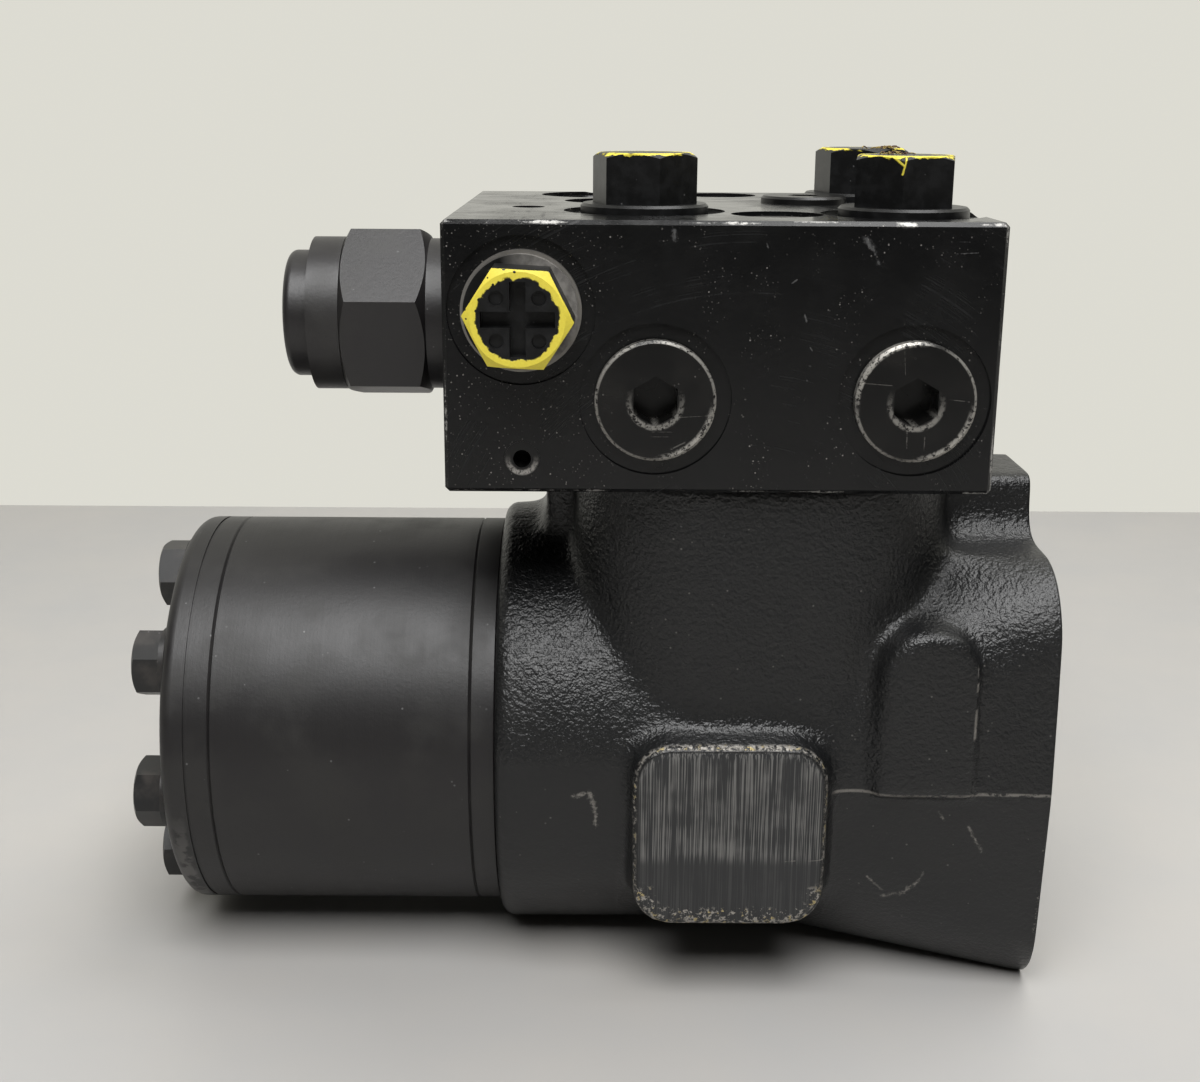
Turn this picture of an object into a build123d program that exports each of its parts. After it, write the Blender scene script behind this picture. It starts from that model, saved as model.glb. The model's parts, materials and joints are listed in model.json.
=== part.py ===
from build123d import *
from cmath import rect
from math import cos, pi, radians, sin, sqrt, tan
import os

# Orbital steering unit with a valve block on its port face. Sizes are in millimetres.
# The shaft axis is X, and leaves the housing through the column mounting face at x = 0.
# Z points up to the valve block, and -Y is the side with the plugged ports.
# Angles about the shaft axis are measured from +Y towards +Z.

os.makedirs("parts", exist_ok=True)

# ---------------------------------------------------------------- clearances
RUNNING = 0.05          # radial gap of pieces that turn or slide in each other
THREAD_GAP = 0.05       # radial gap between a screwed piece and its tapped hole
SCREW_GAP = 0.2         # radial gap between a screw and its plain hole
SEAL_GAP = 0.1          # gap between a seal and what turns in it
SPLINE_GAP = 0.35       # gap all round the cardan shaft's teeth, which lets it tilt
END_PLAY = 0.05         # gap at each end of the rotor, sleeve and spool
MESH_GAP = 0.07         # gap between the rotor's flanks and the gear ring's teeth

# ---------------------------------------------------------------- gear set
GEAR_RADIUS = 42.2      # outside of the plate, ring and cover
PLATE_THICKNESS = 5.1
RING_WIDTH = 52.0
COVER_THICKNESS = 10.2
COVER_ROUND = 2.6
RIM_CHAMFER = 0.35      # small bevels that show as a groove where two discs meet
COVER_LINE_DEPTH = 0.3  # turned line round the cover
COVER_LINE_WIDTH = 0.5
RING_TEETH = 7
ROTOR_TEETH = 6
TOOTH_CIRCLE = 33.0     # circle through the centres of the ring's round teeth
TOOTH_RADIUS = 9.0
ECCENTRICITY = 3.5      # the rotor's centre orbits on this radius
ROOT_FILLET = 2.5
PROFILE_POINTS = 20     # points on each rotor tooth, two to an arc
ORBIT_ANGLE = -90.0     # where the rotor's centre stands at rest

# ---------------------------------------------------------------- cover screws
SCREW_CIRCLE = 31.0
FIRST_SCREW_ANGLE = 91.7
SCREW_RADIUS = 4.0
SCREW_HEAD_ACROSS = 12.7
SCREW_HEAD_HEIGHT = 5.6
SCREW_GRIP = 16.0       # length in the housing
WASHER_RADIUS = 7.4
WASHER_THICKNESS = 1.6
SEAL_RADIUS = 39.8      # square-cut seals between the discs
SEAL_WIDTH = 2.2
SEAL_DEPTH = 1.4

# ---------------------------------------------------------------- housing
BODY_LENGTH = 109.5
BARREL_RADIUS = 46.0
BARREL_CHAMFER = 1.7
REST_DEPTH = 44.0       # flat underside below the shaft axis
BLOCK_HALF_WIDTH = 48.6  # column block at its parting line
BLOCK_TOP_WIDTH = 46.3  # half-width at the top edge
BLOCK_FOOT_WIDTH = 45.4  # half-width at the cast foot, before the flat is milled
BLOCK_TOP = 44.7
BLOCK_FOOT = 45.6
BLOCK_CORNER = 15.0
TAPER_END = 52.0        # where the block has melted into the barrel
TAPER_WIDTH = 45.2
TAPER_CORNER = 43.5
DRAFT = 0.3
NECK_LEFT = 93.8        # port neck, measured from the mounting face
NECK_RIGHT = 18.3
NECK_HALF_DEPTH = 44.5
NECK_CORNER = 27.0
PORT_FACE = 61.2        # height of the face that carries the valve block
SPINE_LEFT = 100.0
SPINE_HALF_DEPTH = 16.0
EAR_TOP = 57.5
EAR_FRONT = 16.5
EAR_BACK = 8.0
EAR_LENGTH = 24.0
EAR_BLEND = 7.0
PAD_LEFT = 82.6         # machined pad on each flank
PAD_RIGHT = 43.5
PAD_TOP = 12.0
PAD_BOTTOM = 27.5
PAD_FACE = 51.0
PAD_CORNER = 8.0
PAD_BEVEL = 1.6
PAD_ROOT = 30.0         # depth inside the barrel where the pad starts
ARCH_LEFT = 34.7        # shallow arched boss beside the mounting face
ARCH_RIGHT = 15.5
ARCH_TOP = 34.6
ARCH_FACE = 49.3

# ---------------------------------------------------------------- bores on the shaft axis
MAIN_BORE = 19.0
SHOULDER_DEPTH = 21.0   # thrust bearing's shoulder, from the mounting face
SEAL_SEAT = 17.0        # shaft seal's seat, right of the shoulder
SEAL_SEAT_DEPTH = 15.5
DUST_SEAT = 17.5
DUST_SEAT_DEPTH = 10.0
PILOT_RADIUS = 20.7
PILOT_DEPTH = 4.5
GALLERY_RADIUS = 21.5   # ring grooves in the main bore
GALLERY_WIDTH = 4.0
PASSAGE_RADIUS = 2.0    # the seven drillings from the gear set to the sleeve
PASSAGE_CIRCLE = 26.5
PASSAGE_DEPTH = 15.0
MOUNT_CIRCLE = 82.5     # column bolts
MOUNT_HOLE = 4.25
MOUNT_HOLE_DEPTH = 18.0

# ---------------------------------------------------------------- rotary valve
SLEEVE_BORE = 14.0
SPOOL_BORE = 10.3
NECK_RADIUS = 12.0      # the spool's neck, in the bearing and the seals
SHAFT_RECESS = 5.0      # the spool's end below the mounting face
RACE_THICKNESS = 1.5
NEEDLE_DIAMETER = 2.5
NEEDLE_COUNT = 12
NEEDLE_LENGTH = 4.6
NEEDLE_CIRCLE = 15.6
CAGE_THICKNESS = 1.6
PIN_PLACE = 70.0        # cross pin, from the mounting face
PIN_RADIUS = 4.0
PIN_HALF_LENGTH = 18.4
PIN_FIT = 0.02          # gap between the cross pin and the sleeve's holes
DEFLECTION = 10.0       # degrees that the spool turns in the sleeve, each way
SPRING_PLACE = 38.0     # centring leaf springs
LEAF_WIDTH = 6.0
LEAF_THICKNESS = 0.45
LEAF_HALF_LENGTH = 17.4
LEAF_BOW = 0.9
LEAF_SIDE_GAP = 0.1
SPRING_SLOT = 3.8
SPRING_RING_BORE = 17.6
SPRING_RING_WIDTH = 7.0
SLEEVE_PORTS = 12
SLEEVE_PORT_RADIUS = 1.6
SPOOL_SLOTS = 6
SPOOL_SLOT_WIDTH = 3.0
SPOOL_SLOT_DEPTH = 1.4
SPOOL_SLOT_LENGTH = 16.0
SLEEVE_PORT_PLACE = 95.0

# ---------------------------------------------------------------- splines and cardan shaft
INPUT_TEETH = 12
INPUT_MINOR = 8.75
INPUT_MAJOR = 10.25
INPUT_DEPTH = 24.0
DRIVE_TEETH = 12
DRIVE_MINOR = 8.6       # inside of the rotor's teeth
DRIVE_MAJOR = 10.6
HEAD_PLACE = 146.0      # middle of the cardan's toothed head, from the mounting face
HEAD_LENGTH = 12.0
CARDAN_RADIUS = 6.6
FORK_RADIUS = 9.4
FORK_LENGTH = 15.0
FORK_REACH = 6.5        # how far the fork passes the cross pin
FORK_SLOT_DEPTH = 11.0
SPACER_RADIUS = 7.9
FORK_GAP = 0.3

# ---------------------------------------------------------------- valve block
BLOCK_LEFT = 117.65
BLOCK_RIGHT = 16.25
BLOCK_HALF_DEPTH = 48.5
BLOCK_HEIGHT = 49.7
BLOCK_CHAMFER = 0.8
PORT_RADIUS = 8.7       # tapped ports
PORT_DEPTH = 14.0
PORT_MOUTH = 10.0       # cone for the fitting's seal
SPOTFACE_DEPTH = 0.8
FRONT_PORTS = [(-78.9, 78.7), (-31.5, 78.7)]
FRONT_SPOTFACE = 14.0
REAR_PORTS = [(-78.9, 78.7), (-31.5, 78.7), (-103.3, 76.0), (-45.0, 96.5)]
TOP_PORT = (-90.0, 35.5)
TOP_PORT_SPOTFACE = 12.5
CROSS_DRILLING = 4.0    # drilling that joins a front port to its rear one
CROSS_DRILLING_HEIGHT = 75.0
BLOCK_SCREWS = [(-55.7, -29.5), (-62.4, 36.0), (-88.0, 11.5), (-26.0, 1.0)]
BLOCK_SCREW_RADIUS = 5.0
BLOCK_SCREW_HEAD = 8.0
BLOCK_SCREW_HEAD_HEIGHT = 10.0
BLOCK_SCREW_SOCKET = 8.0
COUNTERBORE_RADIUS = 8.75
COUNTERBORE_DEPTH = 10.8
BLOCK_SCREW_GRIP = 16.0
PORT_DRILLINGS = [(-78.9, -18.0), (-46.5, -16.0), (-62.0, -2.0), (-54.0, 20.0)]
DRILLING_TOPS = [CROSS_DRILLING_HEIGHT, CROSS_DRILLING_HEIGHT, 83.0, 96.0]
DRILLING_RADIUS = 4.0
PUMP_DRILLING = (-101.0, 80.0)
TANK_DRILLING = (-49.5, 94.5)
SHORT_DRILLING = 3.5
FACE_SEAL_BORE = 6.6
FACE_SEAL_RADIUS = 8.4
FACE_SEAL_DEPTH = 1.6

# ---------------------------------------------------------------- plugs of the block
PORT_PLUG_FLANGE = 11.1
PORT_PLUG_FLANGE_THICKNESS = 2.4
PORT_PLUG_SOCKET = 8.0
PORT_PLUG_SOCKET_DEPTH = 7.0
PORT_PLUG_BEVEL = 0.5
PLUG_THREAD_LENGTH = 11.0
PLUG_UNDERCUT = 7.7     # the seal's groove under a plug's flange
PLUG_UNDERCUT_WIDTH = 1.8
RELIEF_PLACE = (-103.3, 94.8)
RELIEF_WASHER = 10.95
RELIEF_WASHER_THICKNESS = 1.5
RELIEF_COLLAR = 10.3
RELIEF_COLLAR_THICKNESS = 1.8
RELIEF_HEX_ACROSS = 17.0
RELIEF_FACE = 61.0      # outer face of the hex, from the block's middle plane
RELIEF_SPOTFACE = 13.5
RELIEF_THREAD = 8.0
RELIEF_THREAD_LENGTH = 10.0
RELIEF_BORE_DEPTH = 26.0
RELIEF_SEAT = 2.2
RELIEF_TURN = -3.0      # degrees that the hex is turned
RELIEF_SLOT_WIDTH = 2.8
RELIEF_SLOT_LENGTH = 13.0
RELIEF_SLOT_DEPTH = 3.0
DIMPLE_RADIUS = 1.3
DIMPLE_OFFSET = 3.7
DIMPLE_DEPTH = 0.8
POPPET_NOSE = 3.5       # length of a valve poppet's cone
POPPET_BODY = 4.0       # length of its guide
PILOT_PLACE = (-103.3, 67.6)
PILOT_RADIUS_OUTER = 3.25
PILOT_BORE = 1.65
PILOT_LENGTH = 6.0
TOP_PLUGS = [(-80.6, -20.5), (-31.4, -26.6), (-31.4, 25.2)]
TOP_PLUG_TURNS = [44.2, 17.7, 41.0]
TOP_PLUG_FLANGE = 12.4
TOP_PLUG_FLANGE_THICKNESS = 2.3
TOP_PLUG_HEX_ACROSS = 18.0
TOP_PLUG_HEX_HEIGHT = 9.5
TOP_PLUG_SPOTFACE = 15.65
VALVE_BORE = 5.6        # bores under the top plugs, which hold balls and springs
VALVE_SEAT = 3.2
VALVE_SEAT_HEIGHT = 84.0
VALVE_CLEARANCE = 0.4   # round the poppets, where the oil returns
VALVE_SPRING_RADIUS = 3.4
VALVE_SPRING_WIRE = 1.0
VALVE_SPRING_TURNS = 4
TOP_VALVE_NAMES = ["left_shock", "right_shock", "suction"]
LOW_PLUG_PLACE = (-46.0, 9.0)
LOW_PLUG_RADIUS = 9.0
LOW_PLUG_THREAD = 6.0
LOW_PLUG_THICKNESS = 1.5
LOW_PLUG_LENGTH = 8.0
LOW_PLUG_SOCKET = 6.0
TELLTALE_PLACE = (-103.5, -11.0)
TELLTALE_RADIUS = 3.25
TELLTALE_DEPTH = 8.0

# ---------------------------------------------------------------- priority valve
PRIORITY_Y = -2.0
PRIORITY_Z = 88.3
PRIORITY_BORE = 6.5
PRIORITY_BORE_END = 37.0    # blind end, from the mounting face
CAP_END_RADIUS = 13.0
CAP_END_LENGTH = 5.3
CAP_STEP_RADIUS = 15.75
CAP_STEP_LENGTH = 6.5
CAP_HEX_ACROSS = 32.0
CAP_HEX_LENGTH = 17.5
CAP_HEX_TURN = 46.0
CAP_END_ROUND = 1.6
CAP_COLLAR_RADIUS = 15.5
CAP_COLLAR_LENGTH = 6.35
CAP_THREAD_RADIUS = 11.0
CAP_THREAD_LENGTH = 12.0
CAP_BORE = 8.0
CAP_WALL = 5.0
CAP_SEAL_RADIUS = 13.0
CAP_SEAL_DEPTH = 1.5
PRIORITY_WAIST = 4.0
PRIORITY_LANDS = [(12.0, 8.0), (14.0, 8.0), (12.0, 6.0)]
PRIORITY_LAST_LAND = 12.0
PRIORITY_SPRING_RADIUS = 5.2
PRIORITY_SPRING_TURNS = 7
SPRING_WIRE = 1.4
SPRING_STEPS = 10       # straight stretches in a spring's turn

# ---------------------------------------------------------------- check valve in the pump port
CHECK_BALL = 3.4
CHECK_CHAMBER_DEPTH = 17.2
CHECK_SLOT_WIDTH = 4.4
CHECK_SLOT_LENGTH = 7.6
CHECK_BUSH_RADIUS = 6.0
CHECK_BUSH_LENGTH = 10.0
CHECK_BUSH_BORE = 2.4

BEVEL_SHARE = 0.485     # radius of a hexagon's bevel at its face, as a share of its width
ON_BASE = (Align.CENTER, Align.CENTER, Align.MIN)

# ---------------------------------------------------------------- places that follow
PLATE_X = -BODY_LENGTH - PLATE_THICKNESS
RING_X = PLATE_X - RING_WIDTH
COVER_X = RING_X - COVER_THICKNESS
BLOCK_TOP_Z = PORT_FACE + BLOCK_HEIGHT
SLEEVE_LEFT = -BODY_LENGTH + END_PLAY
SLEEVE_RADIUS = MAIN_BORE - RUNNING
SPOOL_RADIUS = SLEEVE_BORE - RUNNING
BEARING_STACK = 2 * RACE_THICKNESS + NEEDLE_DIAMETER
SLEEVE_RIGHT = -SHOULDER_DEPTH - BEARING_STACK - END_PLAY
ROOT_RADIUS = TOOTH_CIRCLE - TOOTH_RADIUS + 2 * ECCENTRICITY + MESH_GAP
ROTOR_TURN = (RING_TEETH * FIRST_SCREW_ANGLE - 180 - ORBIT_ANGLE) / ROTOR_TEETH
ROTOR_Y = ECCENTRICITY * cos(radians(ORBIT_ANGLE))
ROTOR_Z = ECCENTRICITY * sin(radians(ORBIT_ANGLE))
PUMP_PORT = PORT_DRILLINGS[2]
PIN_X = -PIN_PLACE
HEAD_X = -HEAD_PLACE


def across(x):
    """The plane square to the shaft axis at x, with +Y to the right and +Z up."""
    return Plane.YZ.offset(x)


def front(y):
    """The plane parallel to the block's front face at y = -y, with its normal to -Y."""
    return Plane.XZ.offset(y)


def screw_places():
    """The cover screws' places on their circle, for a sketch across the shaft."""
    return PolarLocations(SCREW_CIRCLE, RING_TEETH, start_angle=FIRST_SCREW_ANGLE)


def pocket_places(radius):
    """Places midway between the cover screws, on a circle of the radius given."""
    half_step = 180 / RING_TEETH
    return PolarLocations(radius, RING_TEETH, start_angle=FIRST_SCREW_ANGLE + half_step)


def rotor_points(gap, start):
    """Points on the rotor's flank: the ring tooth's path round it, set in by the tooth's radius and the gap."""
    points = []
    steps = ROTOR_TEETH * PROFILE_POINTS
    for step in range(steps):
        turn = 2 * pi * step / steps
        slow = rect(TOOTH_CIRCLE, turn)
        fast = rect(ECCENTRICITY, RING_TEETH * turn)
        along = 1j * (slow + RING_TEETH * fast)
        inward = 1j * along / abs(along)
        flank = (slow + fast + inward * (TOOTH_RADIUS + gap)) * rect(1, radians(start))
        points.append((flank.real, flank.imag))
    return points


def spline_points(minor, major, teeth, root_share, tip_share):
    """Corners of a toothed circle; the shares say how much of a tooth's step its foot and tip take."""
    points = []
    step = 2 * pi / teeth
    for tooth in range(teeth):
        middle = tooth * step
        corners = ((minor, -root_share), (major, -tip_share), (major, tip_share), (minor, root_share))
        for radius, share in corners:
            angle = middle + share * step / 2
            points.append((radius * cos(angle), radius * sin(angle)))
    return points


def coil(axis_plane, length, radius, wire, turns):
    """A helical compression spring that stands on the plane given, as straight stretches of wire."""
    steps = int(turns * SPRING_STEPS)
    lift = length - wire
    with BuildPart() as spring:
        for step in range(steps + 1):
            angle = 2 * pi * step / SPRING_STEPS
            height = wire / 2 + lift * step / steps
            outward = axis_plane.x_dir * cos(angle) + axis_plane.y_dir * sin(angle)
            sideways = axis_plane.y_dir * cos(angle) - axis_plane.x_dir * sin(angle)
            centre = axis_plane.origin + outward * radius + axis_plane.z_dir * height
            with BuildSketch(Plane(origin=centre, x_dir=outward, z_dir=sideways)):
                RegularPolygon(wire / 2, 6)
        loft(ruled=True)
    return spring.part


def hexagon(base, width, length, turn, both_ends=False):
    """A hexagon that stands on the plane given, with its corners bevelled at the far end or at both."""
    small = BEVEL_SHARE * width
    large = small + length * tan(radians(60))
    with BuildPart() as head:
        with BuildSketch(base):
            RegularPolygon(width / 2, 6, major_radius=False, rotation=turn)
        extrude(amount=length)
        with Locations(base):
            Cone(large, small, length, align=ON_BASE, mode=Mode.INTERSECT)
            if both_ends:
                Cone(small, large, length, align=ON_BASE, mode=Mode.INTERSECT)
    return head.part


def poppet(seat, seat_radius, guide_radius):
    """A valve poppet on a seat, with the plane's normal pointing the way it lifts."""
    drop = POPPET_NOSE * seat_radius / guide_radius
    with BuildPart() as piece:
        with Locations(seat.offset(RUNNING - drop)):
            Cone(0.2, guide_radius, POPPET_NOSE, align=ON_BASE)
        with Locations(seat.offset(RUNNING - drop + POPPET_NOSE)):
            Cylinder(guide_radius, POPPET_BODY, align=ON_BASE)
    return piece.part


# ================================================================ housing
# The column block: a square with drafted flanks, whose corners grow rounder until they meet the barrel.
with BuildPart() as column_block:
    for place, half_width, top_width, foot_width, corner in (
        (0, BLOCK_HALF_WIDTH, BLOCK_TOP_WIDTH, BLOCK_FOOT_WIDTH, BLOCK_CORNER),
        (-TAPER_END, TAPER_WIDTH, TAPER_WIDTH - DRAFT, TAPER_WIDTH - DRAFT, TAPER_CORNER),
    ):
        with BuildSketch(across(place)) as block_section:
            with BuildLine():
                Polyline(
                    (half_width, 0), (top_width, BLOCK_TOP), (-top_width, BLOCK_TOP),
                    (-half_width, 0), (-foot_width, -BLOCK_FOOT), (foot_width, -BLOCK_FOOT), close=True,
                )
            make_face()
            fillet(block_section.vertices().filter_by(lambda v: abs(v.Y) > BLOCK_CORNER), corner)
    loft(ruled=True)

# Machined pads and shallow arched bosses, on both flanks.
with BuildPart() as flank_pads:
    for side in (1, -1):
        with BuildSketch(front(side * PAD_ROOT)):
            with Locations((-(PAD_LEFT + PAD_RIGHT) / 2, (PAD_TOP - PAD_BOTTOM) / 2)):
                RectangleRounded(PAD_LEFT - PAD_RIGHT, PAD_TOP + PAD_BOTTOM, PAD_CORNER)
        extrude(amount=side * (PAD_FACE - PAD_ROOT))
        pad_rim = flank_pads.faces().sort_by(Axis.Y)[0 if side > 0 else -1].edges()
        chamfer(pad_rim, PAD_BEVEL)
    for side in (1, -1):
        with BuildSketch(front(side * PAD_ROOT)):
            arch_radius = (ARCH_LEFT - ARCH_RIGHT) / 2
            with Locations((-(ARCH_LEFT + ARCH_RIGHT) / 2, ARCH_TOP - arch_radius)):
                Circle(arch_radius)
            with Locations((-(ARCH_LEFT + ARCH_RIGHT) / 2, (ARCH_TOP - arch_radius) / 2)):
                Rectangle(2 * arch_radius, ARCH_TOP - arch_radius)
        extrude(amount=side * (ARCH_FACE - PAD_ROOT))

with BuildPart() as housing:
    with BuildSketch(across(-BODY_LENGTH)):
        Circle(BARREL_RADIUS)
    extrude(amount=BODY_LENGTH - SHOULDER_DEPTH)
    chamfer(housing.faces().sort_by(Axis.X)[0].edges(), BARREL_CHAMFER)
    add(column_block.part)
    # milled flat along the underside
    with BuildSketch(Plane.XY.offset(-REST_DEPTH)):
        with Locations((-BODY_LENGTH / 2, 0)):
            Rectangle(2 * BODY_LENGTH, 4 * BARREL_RADIUS)
    extrude(amount=-BARREL_RADIUS, mode=Mode.SUBTRACT)
    # port neck and the spine on its left
    with BuildSketch(Plane.XY):
        with Locations((-(NECK_LEFT + NECK_RIGHT) / 2, 0)):
            RectangleRounded(NECK_LEFT - NECK_RIGHT, 2 * NECK_HALF_DEPTH, NECK_CORNER)
    extrude(amount=PORT_FACE)
    with BuildSketch(Plane.XY):
        with Locations((-(SPINE_LEFT + NECK_RIGHT) / 2, 0)):
            Rectangle(SPINE_LEFT - NECK_RIGHT, 2 * SPINE_HALF_DEPTH)
    extrude(amount=PORT_FACE)
    # ear over the mounting face, with blends at its foot
    with BuildSketch(across(0)) as ear:
        with BuildLine():
            foot = BLOCK_TOP - EAR_BLEND
            Polyline(
                (-EAR_FRONT - 2 * EAR_BLEND, foot), (-EAR_FRONT - 2 * EAR_BLEND, BLOCK_TOP), (-EAR_FRONT, BLOCK_TOP),
                (-EAR_FRONT, EAR_TOP), (EAR_BACK, EAR_TOP), (EAR_BACK, BLOCK_TOP),
                (EAR_BACK + 2 * EAR_BLEND, BLOCK_TOP), (EAR_BACK + 2 * EAR_BLEND, foot), close=True,
            )
        make_face()
        feet = ear.vertices().filter_by(lambda v: abs(v.Y - BLOCK_TOP) < 1)
        fillet(feet.filter_by(lambda v: -EAR_FRONT - 1 < v.X < EAR_BACK + 1), EAR_BLEND)
    extrude(amount=-EAR_LENGTH)
    add(flank_pads.part)
    # stepped bore on the shaft axis
    with BuildSketch(Plane.XY):
        with BuildLine():
            Polyline(
                (-BODY_LENGTH, 0), (-BODY_LENGTH, MAIN_BORE), (-SHOULDER_DEPTH, MAIN_BORE),
                (-SHOULDER_DEPTH, SEAL_SEAT), (-SEAL_SEAT_DEPTH, SEAL_SEAT),
                (-SEAL_SEAT_DEPTH, NECK_RADIUS + 2 * SEAL_GAP), (-DUST_SEAT_DEPTH, NECK_RADIUS + 2 * SEAL_GAP),
                (-DUST_SEAT_DEPTH, DUST_SEAT), (-PILOT_DEPTH, DUST_SEAT), (-PILOT_DEPTH, PILOT_RADIUS),
                (0, PILOT_RADIUS), (0, 0), close=True,
            )
        make_face()
    revolve(axis=Axis.X, mode=Mode.SUBTRACT)
    # ring galleries, and the drillings up to the port face
    for place, _ in PORT_DRILLINGS:
        with BuildSketch(across(place - GALLERY_WIDTH / 2)):
            Circle(GALLERY_RADIUS)
        extrude(amount=GALLERY_WIDTH, mode=Mode.SUBTRACT)
    with BuildSketch(Plane.XY.offset(PORT_FACE)):
        with Locations(*PORT_DRILLINGS[:2], *PORT_DRILLINGS[3:]):
            Circle(DRILLING_RADIUS)
    extrude(amount=-(PORT_FACE - MAIN_BORE / 2), mode=Mode.SUBTRACT)
    # pump port: seat of the check bush, chamber of its ball, and the slot that the ball rests on
    with BuildSketch(Plane.XY.offset(PORT_FACE)):
        with Locations(PUMP_PORT):
            Circle(CHECK_BUSH_RADIUS + THREAD_GAP)
    extrude(amount=-CHECK_BUSH_LENGTH, mode=Mode.SUBTRACT)
    with BuildSketch(Plane.XY.offset(PORT_FACE)):
        with Locations(PUMP_PORT):
            Circle(DRILLING_RADIUS)
    extrude(amount=-CHECK_CHAMBER_DEPTH, mode=Mode.SUBTRACT)
    with BuildSketch(Plane.XY.offset(PORT_FACE)):
        with Locations(PUMP_PORT):
            SlotOverall(CHECK_SLOT_LENGTH, CHECK_SLOT_WIDTH)
    extrude(amount=-(PORT_FACE - MAIN_BORE / 2), mode=Mode.SUBTRACT)
    # tapped holes for the block screws, the cover screws and the column
    with BuildSketch(Plane.XY.offset(PORT_FACE)):
        with Locations(*BLOCK_SCREWS):
            Circle(BLOCK_SCREW_RADIUS + THREAD_GAP)
    extrude(amount=-(BLOCK_SCREW_GRIP + 2), mode=Mode.SUBTRACT)
    with BuildSketch(across(-BODY_LENGTH)):
        with screw_places():
            Circle(SCREW_RADIUS + THREAD_GAP)
    extrude(amount=SCREW_GRIP + 3, mode=Mode.SUBTRACT)
    with BuildSketch(across(0)):
        with PolarLocations(MOUNT_CIRCLE / 2, 4, start_angle=45):
            Circle(MOUNT_HOLE)
    extrude(amount=-MOUNT_HOLE_DEPTH, mode=Mode.SUBTRACT)
    # passages from the gear pockets to the sleeve's ports
    with BuildSketch(across(-BODY_LENGTH)):
        with pocket_places(PASSAGE_CIRCLE):
            Circle(PASSAGE_RADIUS)
    extrude(amount=PASSAGE_DEPTH, mode=Mode.SUBTRACT)
housing.part.label = "housing"
export_step(housing.part, "parts/housing.step")

# ================================================================ gear set
with BuildPart() as distributor_plate:
    with BuildSketch(across(PLATE_X)):
        Circle(GEAR_RADIUS)
        Circle(SLEEVE_BORE, mode=Mode.SUBTRACT)
        with screw_places():
            Circle(SCREW_RADIUS + SCREW_GAP, mode=Mode.SUBTRACT)
        with pocket_places(PASSAGE_CIRCLE):
            Circle(PASSAGE_RADIUS, mode=Mode.SUBTRACT)
    extrude(amount=PLATE_THICKNESS)
    rims = distributor_plate.edges().filter_by(GeomType.CIRCLE).sort_by(SortBy.RADIUS)[-2:]
    chamfer(rims, RIM_CHAMFER)
    for face_x in (PLATE_X, -BODY_LENGTH - SEAL_DEPTH):
        with BuildSketch(across(face_x)):
            Circle(SEAL_RADIUS)
            Circle(SEAL_RADIUS - SEAL_WIDTH, mode=Mode.SUBTRACT)
        extrude(amount=SEAL_DEPTH, mode=Mode.SUBTRACT)
distributor_plate.part.label = "distributor_plate"
export_step(distributor_plate.part, "parts/distributor_plate.step")

with BuildPart() as gear_ring:
    with BuildSketch(across(RING_X)):
        Circle(GEAR_RADIUS)
        with screw_places():
            Circle(SCREW_RADIUS + SCREW_GAP, mode=Mode.SUBTRACT)
    extrude(amount=RING_WIDTH)
    rims = gear_ring.edges().filter_by(GeomType.CIRCLE).sort_by(SortBy.RADIUS)[-2:]
    chamfer(rims, RIM_CHAMFER)
    # the gear chamber: a circle with seven round teeth standing into it
    with BuildSketch(across(RING_X)) as chamber:
        Circle(ROOT_RADIUS)
        with PolarLocations(TOOTH_CIRCLE, RING_TEETH, start_angle=FIRST_SCREW_ANGLE):
            Circle(TOOTH_RADIUS, mode=Mode.SUBTRACT)
        fillet(chamber.vertices(), ROOT_FILLET)
    extrude(amount=RING_WIDTH, mode=Mode.SUBTRACT)
gear_ring.part.label = "gear_ring"
export_step(gear_ring.part, "parts/gear_ring.step")

with BuildPart() as gear_rotor:
    rotor_face = Plane(origin=(RING_X + END_PLAY, ROTOR_Y, ROTOR_Z), x_dir=(0, 1, 0), z_dir=(1, 0, 0))
    with BuildSketch(rotor_face):
        with BuildLine():
            flank = rotor_points(MESH_GAP, ROTOR_TURN)
            for first in range(0, len(flank), 2):
                ThreePointArc(flank[first], flank[first + 1], flank[(first + 2) % len(flank)])
        make_face()
    extrude(amount=RING_WIDTH - 2 * END_PLAY)
    with BuildSketch(rotor_face):
        with BuildLine():
            Polyline(*spline_points(DRIVE_MINOR, DRIVE_MAJOR, DRIVE_TEETH, 0.55, 0.4), close=True)
        make_face()
    extrude(amount=RING_WIDTH, mode=Mode.SUBTRACT)
gear_rotor.part.label = "gear_rotor"
export_step(gear_rotor.part, "parts/gear_rotor.step")

with BuildPart() as end_cover:
    with BuildSketch(across(COVER_X)):
        Circle(GEAR_RADIUS)
        with screw_places():
            Circle(SCREW_RADIUS + SCREW_GAP, mode=Mode.SUBTRACT)
    extrude(amount=COVER_THICKNESS)
    outer_rim = end_cover.faces().sort_by(Axis.X)[0].edges().sort_by(SortBy.RADIUS)[-1]
    fillet(outer_rim, COVER_ROUND)
    inner_rim = end_cover.faces().sort_by(Axis.X)[-1].edges().sort_by(SortBy.RADIUS)[-1]
    chamfer(inner_rim, RIM_CHAMFER)
    with BuildSketch(across(COVER_X + COVER_THICKNESS / 2)):
        Circle(GEAR_RADIUS + 1)
        Circle(GEAR_RADIUS - COVER_LINE_DEPTH, mode=Mode.SUBTRACT)
    extrude(amount=COVER_LINE_WIDTH, mode=Mode.SUBTRACT)
    with BuildSketch(across(RING_X - SEAL_DEPTH)):
        Circle(SEAL_RADIUS)
        Circle(SEAL_RADIUS - SEAL_WIDTH, mode=Mode.SUBTRACT)
    extrude(amount=SEAL_DEPTH, mode=Mode.SUBTRACT)
end_cover.part.label = "end_cover"
export_step(end_cover.part, "parts/end_cover.step")

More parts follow.
